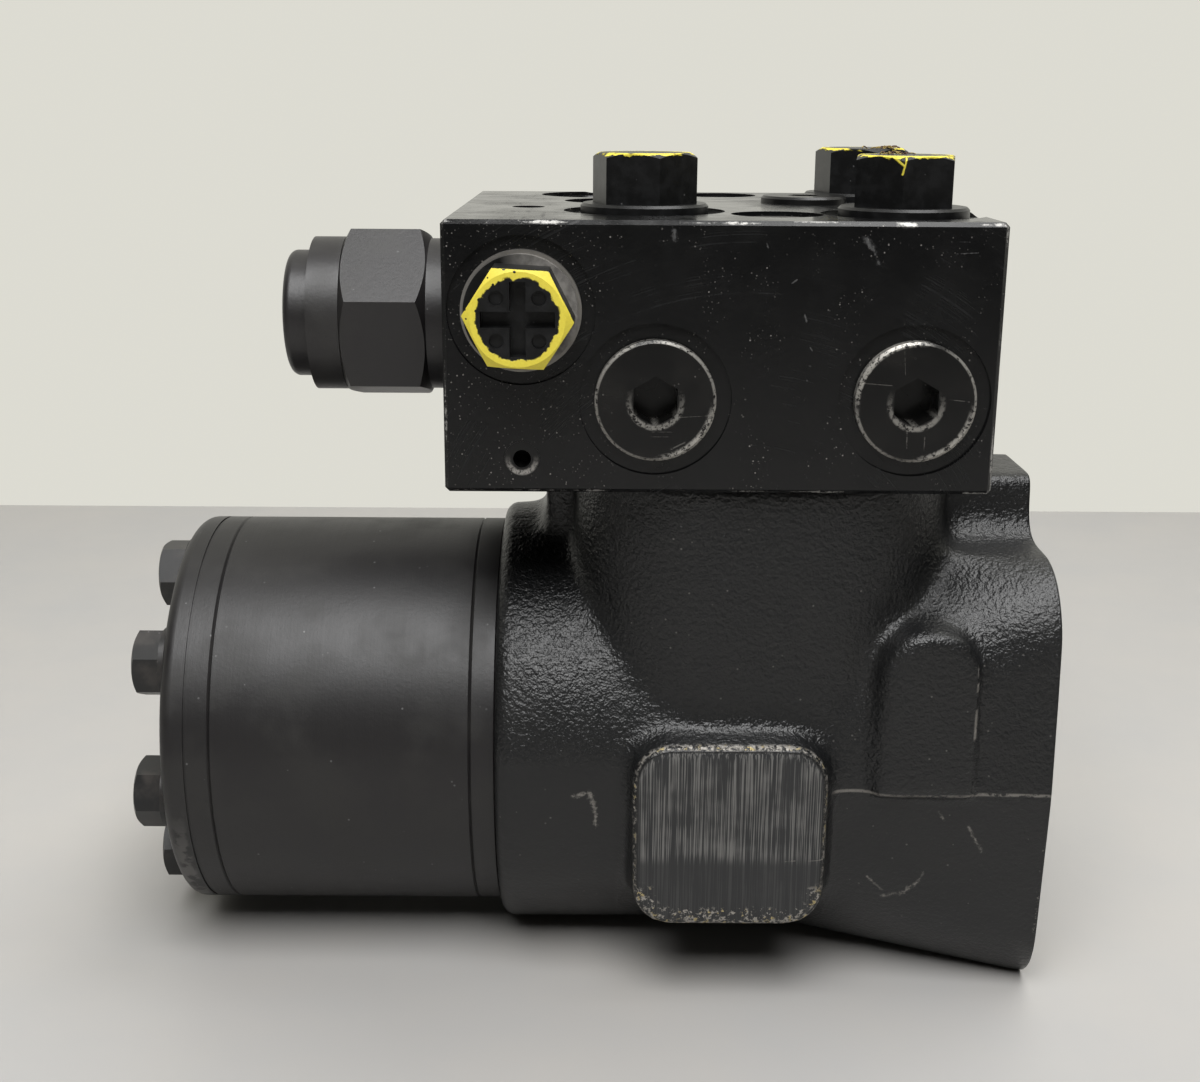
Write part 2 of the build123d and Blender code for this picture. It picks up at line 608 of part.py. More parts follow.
with BuildPart() as disc_seals:
    for face_x in (RING_X - SEAL_DEPTH, PLATE_X, -BODY_LENGTH - SEAL_DEPTH):
        with BuildSketch(across(face_x)):
            Circle(SEAL_RADIUS - RUNNING)
            Circle(SEAL_RADIUS - SEAL_WIDTH + RUNNING, mode=Mode.SUBTRACT)
        extrude(amount=SEAL_DEPTH)
disc_seals.part.label = "disc_seals"
export_step(disc_seals.part, "parts/disc_seals.step")

with BuildPart() as cover_washers:
    with BuildSketch(across(COVER_X - WASHER_THICKNESS)):
        with screw_places():
            Circle(WASHER_RADIUS)
            Circle(SCREW_RADIUS + SCREW_GAP, mode=Mode.SUBTRACT)
    extrude(amount=WASHER_THICKNESS)
cover_washers.part.label = "cover_washers"
export_step(cover_washers.part, "parts/cover_washers.step")

screw_head_x = COVER_X - WASHER_THICKNESS
screw_heads = []
for place in range(RING_TEETH):
    angle = FIRST_SCREW_ANGLE + 360 * place / RING_TEETH
    origin = (screw_head_x, SCREW_CIRCLE * cos(radians(angle)), SCREW_CIRCLE * sin(radians(angle)))
    outward = Plane(origin=origin, x_dir=(0, 1, 0), z_dir=(-1, 0, 0))
    screw_heads.append(hexagon(outward, SCREW_HEAD_ACROSS, SCREW_HEAD_HEIGHT, 25 * place))
with BuildPart() as cover_screws:
    add(screw_heads)
    with BuildSketch(across(screw_head_x)):
        with screw_places():
            Circle(SCREW_RADIUS)
    extrude(amount=-BODY_LENGTH + SCREW_GRIP - screw_head_x)
cover_screws.part.label = "cover_screws"
export_step(cover_screws.part, "parts/cover_screws.step")

# ================================================================ rotary valve
with BuildPart() as sleeve:
    with BuildSketch(across(SLEEVE_LEFT)):
        Circle(SLEEVE_RADIUS)
        Circle(SLEEVE_BORE, mode=Mode.SUBTRACT)
    extrude(amount=SLEEVE_RIGHT - SLEEVE_LEFT)
    with BuildSketch(across(-SPRING_PLACE - SPRING_RING_WIDTH / 2)):
        Circle(MAIN_BORE)
        Circle(SPRING_RING_BORE, mode=Mode.SUBTRACT)
    extrude(amount=SPRING_RING_WIDTH, mode=Mode.SUBTRACT)
    for port in range(SLEEVE_PORTS):
        angle = 2 * pi * port / SLEEVE_PORTS
        outward = Plane(origin=(-SLEEVE_PORT_PLACE, 0, 0), x_dir=(1, 0, 0), z_dir=(0, cos(angle), sin(angle)))
        with BuildSketch(outward):
            Circle(SLEEVE_PORT_RADIUS)
        extrude(amount=MAIN_BORE, mode=Mode.SUBTRACT)
    with BuildSketch(Plane.XY):
        with Locations((PIN_X, 0)):
            Circle(PIN_RADIUS + PIN_FIT)
    extrude(amount=MAIN_BORE, both=True, mode=Mode.SUBTRACT)
    with BuildSketch(Plane.XZ):
        with Locations((-SPRING_PLACE, 0)):
            Rectangle(LEAF_WIDTH + 2 * LEAF_SIDE_GAP, SPRING_SLOT)
    extrude(amount=MAIN_BORE, both=True, mode=Mode.SUBTRACT)
sleeve.part.label = "sleeve"
export_step(sleeve.part, "parts/sleeve.step")

with BuildPart() as spool:
    with BuildSketch(across(SLEEVE_LEFT)):
        Circle(SPOOL_RADIUS)
    extrude(amount=SLEEVE_RIGHT - SLEEVE_LEFT)
    with BuildSketch(across(SLEEVE_RIGHT)):
        Circle(NECK_RADIUS)
    extrude(amount=-SHAFT_RECESS - SLEEVE_RIGHT)
    with BuildSketch(across(SLEEVE_LEFT)):
        Circle(SPOOL_BORE)
    extrude(amount=-SHAFT_RECESS - INPUT_DEPTH - SLEEVE_LEFT, mode=Mode.SUBTRACT)
    # splined socket for the steering column's shaft
    with BuildSketch(across(-SHAFT_RECESS)):
        with BuildLine():
            Polyline(*spline_points(INPUT_MINOR, INPUT_MAJOR, INPUT_TEETH, 0.55, 0.4), close=True)
        make_face()
    extrude(amount=-INPUT_DEPTH, mode=Mode.SUBTRACT)
    # slots that let the cross pin swing by the deflection angle
    swing = SPOOL_RADIUS * sin(radians(DEFLECTION)) + RUNNING
    with BuildSketch(Plane.XY):
        with Locations((PIN_X, 0)):
            SlotOverall(2 * (PIN_RADIUS + 3 * RUNNING + swing), 2 * (PIN_RADIUS + 3 * RUNNING), rotation=90)
    extrude(amount=MAIN_BORE, both=True, mode=Mode.SUBTRACT)
    with BuildSketch(Plane.XZ):
        with Locations((-SPRING_PLACE, 0)):
            Rectangle(LEAF_WIDTH + 2 * LEAF_SIDE_GAP, SPRING_SLOT)
    extrude(amount=MAIN_BORE, both=True, mode=Mode.SUBTRACT)
    # metering slots milled along the outside
    for slot in range(SPOOL_SLOTS):
        angle = 2 * pi * (slot + 0.5) / SPOOL_SLOTS
        outward = Plane(origin=(-SLEEVE_PORT_PLACE, 0, 0), x_dir=(1, 0, 0), z_dir=(0, cos(angle), sin(angle)))
        with BuildSketch(outward.offset(SPOOL_RADIUS - SPOOL_SLOT_DEPTH)):
            SlotOverall(SPOOL_SLOT_LENGTH, SPOOL_SLOT_WIDTH)
        extrude(amount=2 * SPOOL_SLOT_DEPTH, mode=Mode.SUBTRACT)
spool.part.label = "spool"
export_step(spool.part, "parts/spool.step")

with BuildPart() as cross_pin:
    with BuildSketch(Plane.XY):
        with Locations((PIN_X, 0)):
            Circle(PIN_RADIUS)
    extrude(amount=PIN_HALF_LENGTH, both=True)
cross_pin.part.label = "cross_pin"
export_step(cross_pin.part, "parts/cross_pin.step")

with BuildPart() as centring_springs:
    flat_place = SPRING_SLOT / 2 - RUNNING - LEAF_THICKNESS / 2
    bow_end = flat_place - 1.5 * LEAF_THICKNESS - RUNNING
    bow_middle = bow_end - LEAF_BOW
    with BuildSketch(across(-SPRING_PLACE - LEAF_WIDTH / 2)):
        with Locations((0, flat_place)):
            Rectangle(2 * LEAF_HALF_LENGTH, LEAF_THICKNESS)
        with BuildLine():
            lower = ThreePointArc((-LEAF_HALF_LENGTH, bow_end), (0, bow_middle), (LEAF_HALF_LENGTH, bow_end))
            rise = LEAF_THICKNESS
            upper = ThreePointArc(
                (-LEAF_HALF_LENGTH, bow_end + rise), (0, bow_middle + rise), (LEAF_HALF_LENGTH, bow_end + rise)
            )
            Line(lower @ 0, upper @ 0)
            Line(lower @ 1, upper @ 1)
        make_face()
        mirror(about=Plane.XZ)
    extrude(amount=LEAF_WIDTH)
centring_springs.part.label = "centring_springs"
export_step(centring_springs.part, "parts/centring_springs.step")

with BuildPart() as spring_ring:
    with BuildSketch(across(-SPRING_PLACE - SPRING_RING_WIDTH / 2 + RUNNING)):
        Circle(SLEEVE_RADIUS)
        Circle(SPRING_RING_BORE + RUNNING, mode=Mode.SUBTRACT)
    extrude(amount=SPRING_RING_WIDTH - 2 * RUNNING)
spring_ring.part.label = "spring_ring"
export_step(spring_ring.part, "parts/spring_ring.step")

outer_race_x = -SHOULDER_DEPTH - RACE_THICKNESS
needle_x = outer_race_x - NEEDLE_DIAMETER / 2 - RUNNING / 2
inner_race_x = SLEEVE_RIGHT + RUNNING / 2
with BuildPart() as bearing_race_outer:
    with BuildSketch(across(outer_race_x)):
        Circle(MAIN_BORE - RUNNING)
        Circle(NECK_RADIUS + 2 * SEAL_GAP, mode=Mode.SUBTRACT)
    extrude(amount=RACE_THICKNESS)
bearing_race_outer.part.label = "bearing_race_outer"
export_step(bearing_race_outer.part, "parts/bearing_race_outer.step")

with BuildPart() as bearing_race_inner:
    with BuildSketch(across(inner_race_x)):
        Circle(MAIN_BORE - 2 * SEAL_GAP)
        Circle(NECK_RADIUS + RUNNING, mode=Mode.SUBTRACT)
    extrude(amount=RACE_THICKNESS - RUNNING)
bearing_race_inner.part.label = "bearing_race_inner"
export_step(bearing_race_inner.part, "parts/bearing_race_inner.step")

needle_radius = NEEDLE_DIAMETER / 2 - RUNNING
needle_planes = []
for needle in range(NEEDLE_COUNT):
    angle = 2 * pi * needle / NEEDLE_COUNT
    outward = Plane(origin=(needle_x, 0, 0), x_dir=(1, 0, 0), z_dir=(0, cos(angle), sin(angle)))
    needle_planes.append(outward.offset(NEEDLE_CIRCLE - NEEDLE_LENGTH / 2))
with BuildPart() as bearing_needles:
    for plane in needle_planes:
        with BuildSketch(plane):
            Circle(needle_radius)
        extrude(amount=NEEDLE_LENGTH)
bearing_needles.part.label = "bearing_needles"
export_step(bearing_needles.part, "parts/bearing_needles.step")

with BuildPart() as bearing_cage:
    with BuildSketch(across(needle_x - CAGE_THICKNESS / 2)):
        Circle(MAIN_BORE - SEAL_GAP)
        Circle(NECK_RADIUS + SEAL_GAP, mode=Mode.SUBTRACT)
    extrude(amount=CAGE_THICKNESS)
    for plane in needle_planes:
        with BuildSketch(plane.offset(-RUNNING)):
            Rectangle(2 * NEEDLE_DIAMETER, NEEDLE_DIAMETER)
        extrude(amount=NEEDLE_LENGTH + 2 * RUNNING, mode=Mode.SUBTRACT)
bearing_cage.part.label = "bearing_cage"
export_step(bearing_cage.part, "parts/bearing_cage.step")

with BuildPart() as shaft_seal:
    with BuildSketch(across(-SHOULDER_DEPTH + RUNNING)):
        Circle(SEAL_SEAT - PIN_FIT)
        Circle(NECK_RADIUS + SEAL_GAP, mode=Mode.SUBTRACT)
    extrude(amount=SHOULDER_DEPTH - SEAL_SEAT_DEPTH - 2 * RUNNING)
shaft_seal.part.label = "shaft_seal"
export_step(shaft_seal.part, "parts/shaft_seal.step")

with BuildPart() as dust_seal:
    with BuildSketch(across(-DUST_SEAT_DEPTH + RUNNING)):
        Circle(DUST_SEAT - PIN_FIT)
        Circle(NECK_RADIUS + SEAL_GAP, mode=Mode.SUBTRACT)
    extrude(amount=DUST_SEAT_DEPTH - PILOT_DEPTH - 4 * RUNNING)
dust_seal.part.label = "dust_seal"
export_step(dust_seal.part, "parts/dust_seal.step")

# ================================================================ cardan shaft
# It is built along its own axis, from the cross pin to the middle of the rotor's toothed bore.
drive_axis = Plane(
    origin=(PIN_X, 0, 0), x_dir=(0, 1, 0), z_dir=(HEAD_X - PIN_X, ROTOR_Y, ROTOR_Z)
)
head_reach = sqrt((HEAD_X - PIN_X) ** 2 + ECCENTRICITY ** 2)
with BuildPart() as cardan_shaft:
    with BuildSketch(drive_axis.offset(-FORK_REACH)):
        Circle(FORK_RADIUS)
    extrude(amount=FORK_LENGTH)
    with BuildSketch(drive_axis.offset(FORK_LENGTH - FORK_REACH)):
        Circle(CARDAN_RADIUS)
    extrude(amount=head_reach - FORK_LENGTH + FORK_REACH)
    with BuildSketch(drive_axis.offset(head_reach - HEAD_LENGTH / 2)):
        with BuildLine():
            Polyline(
                *spline_points(DRIVE_MINOR - SPLINE_GAP, DRIVE_MAJOR - SPLINE_GAP, DRIVE_TEETH, 0.42, 0.27),
                close=True,
            )
        make_face()
    extrude(amount=HEAD_LENGTH)
    with BuildSketch(drive_axis.offset(-FORK_REACH)):
        Rectangle(2 * (PIN_RADIUS + FORK_GAP), 4 * FORK_RADIUS)
    extrude(amount=FORK_SLOT_DEPTH, mode=Mode.SUBTRACT)
cardan_shaft.part.label = "cardan_shaft"
export_step(cardan_shaft.part, "parts/cardan_shaft.step")

cardan_end = HEAD_X - HEAD_LENGTH / 2 - SPLINE_GAP - 2 * END_PLAY
with BuildPart() as drive_spacer:
    with BuildSketch(Plane(origin=(RING_X + 2 * END_PLAY, ROTOR_Y, ROTOR_Z), x_dir=(0, 1, 0), z_dir=(1, 0, 0))):
        Circle(SPACER_RADIUS)
    extrude(amount=cardan_end - RING_X - 2 * END_PLAY)
drive_spacer.part.label = "drive_spacer"
export_step(drive_spacer.part, "parts/drive_spacer.step")

# ================================================================ check valve in the pump port
with BuildPart() as check_bush:
    with BuildSketch(Plane.XY.offset(PORT_FACE)):
        with Locations(PUMP_PORT):
            Circle(CHECK_BUSH_RADIUS)
            Circle(CHECK_BUSH_BORE, mode=Mode.SUBTRACT)
    extrude(amount=-CHECK_BUSH_LENGTH)
check_bush.part.label = "check_bush"
export_step(check_bush.part, "parts/check_bush.step")

ball_rise = sqrt(CHECK_BALL ** 2 - (CHECK_SLOT_WIDTH / 2) ** 2)
ball_height = PORT_FACE - CHECK_CHAMBER_DEPTH + ball_rise + RUNNING
with BuildPart() as check_ball:
    with Locations((*PUMP_PORT, ball_height)):
        Sphere(CHECK_BALL)
check_ball.part.label = "check_ball"
export_step(check_ball.part, "parts/check_ball.step")

# ================================================================ valve block
REAR_FACE = Plane(origin=(0, BLOCK_HALF_DEPTH, 0), x_dir=(-1, 0, 0), z_dir=(0, 1, 0))
block_middle = -(BLOCK_LEFT + BLOCK_RIGHT) / 2
port_floor = BLOCK_HALF_DEPTH - PORT_DEPTH
with BuildPart() as valve_block:
    with BuildSketch(Plane.XY.offset(PORT_FACE)):
        with Locations((block_middle, 0)):
            Rectangle(BLOCK_LEFT - BLOCK_RIGHT, 2 * BLOCK_HALF_DEPTH)
    extrude(amount=BLOCK_HEIGHT)
    chamfer(valve_block.edges(), BLOCK_CHAMFER)
    # front face: two plugged ports, the relief valve and the pilot orifice
    with BuildSketch(front(BLOCK_HALF_DEPTH)):
        with Locations(*FRONT_PORTS):
            Circle(FRONT_SPOTFACE)
        with Locations(RELIEF_PLACE):
            Circle(RELIEF_SPOTFACE)
    extrude(amount=-SPOTFACE_DEPTH, mode=Mode.SUBTRACT)
    with Locations(front(BLOCK_HALF_DEPTH)):
        with Locations(*FRONT_PORTS):
            Hole(PORT_RADIUS + THREAD_GAP, depth=PORT_DEPTH)
        with Locations(RELIEF_PLACE):
            Hole(RELIEF_THREAD + THREAD_GAP, depth=RELIEF_THREAD_LENGTH + SPOTFACE_DEPTH + 1)
            Hole(VALVE_BORE, depth=RELIEF_BORE_DEPTH)
            Hole(RELIEF_SEAT, depth=BLOCK_HALF_DEPTH)
        with Locations(PILOT_PLACE):
            Hole(PILOT_RADIUS_OUTER + PIN_FIT, depth=PILOT_LENGTH)
            Hole(PILOT_BORE, depth=2 * PILOT_LENGTH)
    # rear face: the four working ports
    with Locations(REAR_FACE):
        with Locations(*[(-x, z) for x, z in REAR_PORTS]):
            CounterSinkHole(PORT_RADIUS, PORT_MOUTH, depth=PORT_DEPTH, counter_sink_angle=60)
    # drillings between the ports, the valves and the housing
    with BuildSketch(front(port_floor)):
        with Locations(*[(x, CROSS_DRILLING_HEIGHT) for x, _ in FRONT_PORTS]):
            Circle(CROSS_DRILLING)
    extrude(amount=-2 * port_floor, mode=Mode.SUBTRACT)
    with BuildSketch(Plane.XZ.offset(-port_floor)):
        with Locations(PUMP_DRILLING):
            Circle(SHORT_DRILLING)
    extrude(amount=port_floor - PRIORITY_Y, mode=Mode.SUBTRACT)
    with BuildSketch(Plane.XZ.offset(-port_floor)):
        with Locations(TANK_DRILLING):
            Circle(SHORT_DRILLING)
    extrude(amount=port_floor - PORT_DRILLINGS[3][1], mode=Mode.SUBTRACT)
    with BuildSketch(across(PORT_DRILLINGS[1][0])):
        with Locations((PORT_DRILLINGS[1][1], CROSS_DRILLING_HEIGHT)):
            Circle(SHORT_DRILLING)
    extrude(amount=FRONT_PORTS[1][0] - PORT_DRILLINGS[1][0], mode=Mode.SUBTRACT)
    for place, top in zip(PORT_DRILLINGS, DRILLING_TOPS):
        with BuildSketch(Plane.XY.offset(PORT_FACE)):
            with Locations(place):
                Circle(DRILLING_RADIUS)
        extrude(amount=top - PORT_FACE, mode=Mode.SUBTRACT)
    with BuildSketch(Plane.XY.offset(PORT_FACE)):
        with Locations(*PORT_DRILLINGS):
            Circle(FACE_SEAL_RADIUS)
            Circle(FACE_SEAL_BORE, mode=Mode.SUBTRACT)
    extrude(amount=FACE_SEAL_DEPTH, mode=Mode.SUBTRACT)
    # top face: valve plugs, block screws, the open port, the low plug and the telltale hole
    with BuildSketch(Plane.XY.offset(BLOCK_TOP_Z)):
        with Locations(*TOP_PLUGS):
            Circle(TOP_PLUG_SPOTFACE)
        with Locations(TOP_PORT):
            Circle(TOP_PORT_SPOTFACE)
    extrude(amount=-SPOTFACE_DEPTH, mode=Mode.SUBTRACT)
    with Locations(Plane.XY.offset(BLOCK_TOP_Z)):
        with Locations(*TOP_PLUGS):
            Hole(PORT_RADIUS + THREAD_GAP, depth=PLUG_THREAD_LENGTH + SPOTFACE_DEPTH + 1)
            Hole(VALVE_BORE, depth=BLOCK_TOP_Z - VALVE_SEAT_HEIGHT)
            Hole(VALVE_SEAT, depth=BLOCK_TOP_Z - CROSS_DRILLING_HEIGHT)
        with Locations(*BLOCK_SCREWS):
            CounterBoreHole(BLOCK_SCREW_RADIUS + SCREW_GAP, COUNTERBORE_RADIUS, COUNTERBORE_DEPTH)
        with Locations(TOP_PORT):
            CounterSinkHole(PORT_RADIUS, PORT_MOUTH, depth=PORT_DEPTH, counter_sink_angle=60)
        with Locations(LOW_PLUG_PLACE):
            Hole(LOW_PLUG_THREAD + THREAD_GAP, depth=LOW_PLUG_LENGTH + 1)
        with Locations(TELLTALE_PLACE):
            Hole(TELLTALE_RADIUS, depth=TELLTALE_DEPTH)
    # left face: the priority valve's bore, and the cap's thread and seal
    with BuildSketch(across(-BLOCK_LEFT)):
        with Locations((PRIORITY_Y, PRIORITY_Z)):
            Circle(PRIORITY_BORE)
    extrude(amount=BLOCK_LEFT - PRIORITY_BORE_END, mode=Mode.SUBTRACT)
    with BuildSketch(across(-BLOCK_LEFT)):
        with Locations((PRIORITY_Y, PRIORITY_Z)):
            Circle(CAP_THREAD_RADIUS + THREAD_GAP)
    extrude(amount=CAP_THREAD_LENGTH, mode=Mode.SUBTRACT)
    with BuildSketch(across(-BLOCK_LEFT)):
        with Locations((PRIORITY_Y, PRIORITY_Z)):
            Circle(CAP_SEAL_RADIUS)
    extrude(amount=CAP_SEAL_DEPTH, mode=Mode.SUBTRACT)
valve_block.part.label = "valve_block"
export_step(valve_block.part, "parts/valve_block.step")

with BuildPart() as block_seals:
    with BuildSketch(Plane.XY.offset(PORT_FACE)):
        with Locations(*PORT_DRILLINGS):
            Circle(FACE_SEAL_RADIUS - RUNNING)
            Circle(FACE_SEAL_BORE + RUNNING, mode=Mode.SUBTRACT)
    extrude(amount=FACE_SEAL_DEPTH)
block_seals.part.label = "block_seals"
export_step(block_seals.part, "parts/block_seals.step")

screw_seat = BLOCK_TOP_Z - COUNTERBORE_DEPTH
with BuildPart() as block_screws:
    with BuildSketch(Plane.XY.offset(screw_seat)):
        with Locations(*BLOCK_SCREWS):
            Circle(BLOCK_SCREW_HEAD)
    extrude(amount=BLOCK_SCREW_HEAD_HEIGHT)
    chamfer(block_screws.faces().group_by(Axis.Z)[-1].edges(), BLOCK_CHAMFER)
    with BuildSketch(Plane.XY.offset(screw_seat)):
        with Locations(*BLOCK_SCREWS):
            Circle(BLOCK_SCREW_RADIUS)
    extrude(amount=PORT_FACE - BLOCK_SCREW_GRIP - screw_seat)
    with BuildSketch(Plane.XY.offset(screw_seat + BLOCK_SCREW_HEAD_HEIGHT)):
        with Locations(*BLOCK_SCREWS):
            RegularPolygon(BLOCK_SCREW_SOCKET / 2, 6, major_radius=False)
    extrude(amount=-BLOCK_SCREW_HEAD_HEIGHT / 2, mode=Mode.SUBTRACT)
block_screws.part.label = "block_screws"
export_step(block_screws.part, "parts/block_screws.step")

# ================================================================ plugs in the front face
plug_seat = BLOCK_HALF_DEPTH - SPOTFACE_DEPTH
with BuildPart() as front_port_plugs:
    with BuildSketch(front(plug_seat)):
        with Locations(*FRONT_PORTS):
            Circle(PORT_PLUG_FLANGE)
    extrude(amount=PORT_PLUG_FLANGE_THICKNESS)
    chamfer(front_port_plugs.faces().group_by(Axis.Y)[0].edges(), PORT_PLUG_BEVEL)
    with BuildSketch(front(plug_seat)):
        with Locations(*FRONT_PORTS):
            Circle(PLUG_UNDERCUT)
    extrude(amount=-PLUG_UNDERCUT_WIDTH)
    with BuildSketch(front(plug_seat - PLUG_UNDERCUT_WIDTH)):
        with Locations(*FRONT_PORTS):
            Circle(PORT_RADIUS)
    extrude(amount=-(PLUG_THREAD_LENGTH - PLUG_UNDERCUT_WIDTH))
    with BuildSketch(front(plug_seat + PORT_PLUG_FLANGE_THICKNESS)):
        with Locations(*FRONT_PORTS):
            RegularPolygon(PORT_PLUG_SOCKET / 2, 6, major_radius=False, rotation=30)
    extrude(amount=-PORT_PLUG_SOCKET_DEPTH, mode=Mode.SUBTRACT)
front_port_plugs.part.label = "front_port_plugs"
export_step(front_port_plugs.part, "parts/front_port_plugs.step")

with BuildPart() as front_plug_seals:
    with BuildSketch(front(plug_seat)):
        with Locations(*FRONT_PORTS):
            Circle(PORT_RADIUS)
            Circle(PLUG_UNDERCUT + RUNNING, mode=Mode.SUBTRACT)
    extrude(amount=-PLUG_UNDERCUT_WIDTH + RUNNING)
front_plug_seals.part.label = "front_plug_seals"
export_step(front_plug_seals.part, "parts/front_plug_seals.step")

relief_x, relief_z = RELIEF_PLACE
relief_seat = BLOCK_HALF_DEPTH - SPOTFACE_DEPTH
relief_collar = relief_seat + RELIEF_WASHER_THICKNESS
relief_hex = relief_collar + RELIEF_COLLAR_THICKNESS
with BuildPart() as relief_washer:
    with BuildSketch(front(relief_seat)):
        with Locations(RELIEF_PLACE):
            Circle(RELIEF_WASHER)
            Circle(RELIEF_THREAD + SCREW_GAP, mode=Mode.SUBTRACT)
    extrude(amount=RELIEF_WASHER_THICKNESS)
relief_washer.part.label = "relief_washer"
export_step(relief_washer.part, "parts/relief_washer.step")

hex_base = Plane(origin=(relief_x, -relief_hex, relief_z), x_dir=(1, 0, 0), z_dir=(0, -1, 0))
relief_hexagon = hexagon(hex_base, RELIEF_HEX_ACROSS, RELIEF_FACE - relief_hex, RELIEF_TURN)
with BuildPart() as relief_plug:
    add(relief_hexagon)
    with BuildSketch(front(relief_collar)):
        with Locations(RELIEF_PLACE):
            Circle(RELIEF_COLLAR)
    extrude(amount=RELIEF_COLLAR_THICKNESS)
    with BuildSketch(front(relief_collar)):
        with Locations(RELIEF_PLACE):
            Circle(RELIEF_THREAD)
    extrude(amount=-(RELIEF_THREAD_LENGTH + RELIEF_WASHER_THICKNESS))
    # cross slot and four dimples in the hexagon's face
    with BuildSketch(front(RELIEF_FACE)):
        with Locations(RELIEF_PLACE):
            Rectangle(RELIEF_SLOT_WIDTH, RELIEF_SLOT_LENGTH)
            Rectangle(RELIEF_SLOT_LENGTH, RELIEF_SLOT_WIDTH)
    extrude(amount=-RELIEF_SLOT_DEPTH, mode=Mode.SUBTRACT)
    with BuildSketch(front(RELIEF_FACE)):
        with Locations(RELIEF_PLACE):
            with GridLocations(2 * DIMPLE_OFFSET, 2 * DIMPLE_OFFSET, 2, 2):
                Circle(DIMPLE_RADIUS)
    extrude(amount=-DIMPLE_DEPTH, mode=Mode.SUBTRACT)
relief_plug.part.label = "relief_plug"
export_step(relief_plug.part, "parts/relief_plug.step")

# The relief poppet lifts towards the plug against its spring.
relief_valve_seat = Plane(
    origin=(relief_x, RELIEF_BORE_DEPTH - BLOCK_HALF_DEPTH, relief_z), x_dir=(1, 0, 0), z_dir=(0, -1, 0)
)
poppet_guide = VALVE_BORE - VALVE_CLEARANCE
relief_poppet = poppet(relief_valve_seat, RELIEF_SEAT, poppet_guide)
relief_poppet.label = "relief_poppet"
export_step(relief_poppet, "parts/relief_poppet.step")

relief_poppet_top = RUNNING - POPPET_NOSE * RELIEF_SEAT / poppet_guide + POPPET_NOSE + POPPET_BODY
relief_thread_end = RELIEF_BORE_DEPTH - SPOTFACE_DEPTH - RELIEF_THREAD_LENGTH
relief_spring = coil(
    relief_valve_seat.offset(relief_poppet_top + RUNNING),
    relief_thread_end - relief_poppet_top - 2 * RUNNING, VALVE_SPRING_RADIUS, VALVE_SPRING_WIRE, VALVE_SPRING_TURNS,
)
relief_spring.label = "relief_spring"
export_step(relief_spring, "parts/relief_spring.step")

with BuildPart() as pilot_orifice:
    with BuildSketch(front(BLOCK_HALF_DEPTH)):
        with Locations(PILOT_PLACE):
            Circle(PILOT_RADIUS_OUTER)
            Circle(PILOT_BORE, mode=Mode.SUBTRACT)
    extrude(amount=-PILOT_LENGTH)
pilot_orifice.part.label = "pilot_orifice"
export_step(pilot_orifice.part, "parts/pilot_orifice.step")

# ================================================================ valves under the top plugs
top_seat = BLOCK_TOP_Z - SPOTFACE_DEPTH
top_hexagons = []
for (plug_x, plug_y), turn in zip(TOP_PLUGS, TOP_PLUG_TURNS):
    hex_plane = Plane(origin=(plug_x, plug_y, top_seat + TOP_PLUG_FLANGE_THICKNESS))
    top_hexagons.append(hexagon(hex_plane, TOP_PLUG_HEX_ACROSS, TOP_PLUG_HEX_HEIGHT, turn))
with BuildPart() as top_plugs:
    with BuildSketch(Plane.XY.offset(top_seat)):
        with Locations(*TOP_PLUGS):
            Circle(TOP_PLUG_FLANGE)
    extrude(amount=TOP_PLUG_FLANGE_THICKNESS)
    chamfer(top_plugs.faces().group_by(Axis.Z)[-1].edges(), PORT_PLUG_BEVEL)
    add(top_hexagons)
    with BuildSketch(Plane.XY.offset(top_seat)):
        with Locations(*TOP_PLUGS):
            Circle(PLUG_UNDERCUT)
    extrude(amount=-PLUG_UNDERCUT_WIDTH)
    with BuildSketch(Plane.XY.offset(top_seat - PLUG_UNDERCUT_WIDTH)):
        with Locations(*TOP_PLUGS):
            Circle(PORT_RADIUS)
    extrude(amount=-(PLUG_THREAD_LENGTH - PLUG_UNDERCUT_WIDTH))
top_plugs.part.label = "top_plugs"
export_step(top_plugs.part, "parts/top_plugs.step")

with BuildPart() as top_plug_seals:
    with BuildSketch(Plane.XY.offset(top_seat)):
        with Locations(*TOP_PLUGS):
            Circle(PORT_RADIUS)
            Circle(PLUG_UNDERCUT + RUNNING, mode=Mode.SUBTRACT)
    extrude(amount=-PLUG_UNDERCUT_WIDTH + RUNNING)
top_plug_seals.part.label = "top_plug_seals"
export_step(top_plug_seals.part, "parts/top_plug_seals.step")

valve_poppet_top = RUNNING - POPPET_NOSE * VALVE_SEAT / poppet_guide + POPPET_NOSE + POPPET_BODY
valve_spring_length = top_seat - PLUG_THREAD_LENGTH - VALVE_SEAT_HEIGHT - valve_poppet_top - 2 * RUNNING
for name, (plug_x, plug_y) in zip(TOP_VALVE_NAMES, TOP_PLUGS):
    seat = Plane(origin=(plug_x, plug_y, VALVE_SEAT_HEIGHT))
    valve_poppet = poppet(seat, VALVE_SEAT, poppet_guide)
    valve_poppet.label = f"{name}_poppet"
    export_step(valve_poppet, f"parts/{name}_poppet.step")
    valve_spring = coil(
        seat.offset(valve_poppet_top + RUNNING), valve_spring_length,
        VALVE_SPRING_RADIUS, VALVE_SPRING_WIRE, VALVE_SPRING_TURNS,
    )
    valve_spring.label = f"{name}_spring"
    export_step(valve_spring, f"parts/{name}_spring.step")

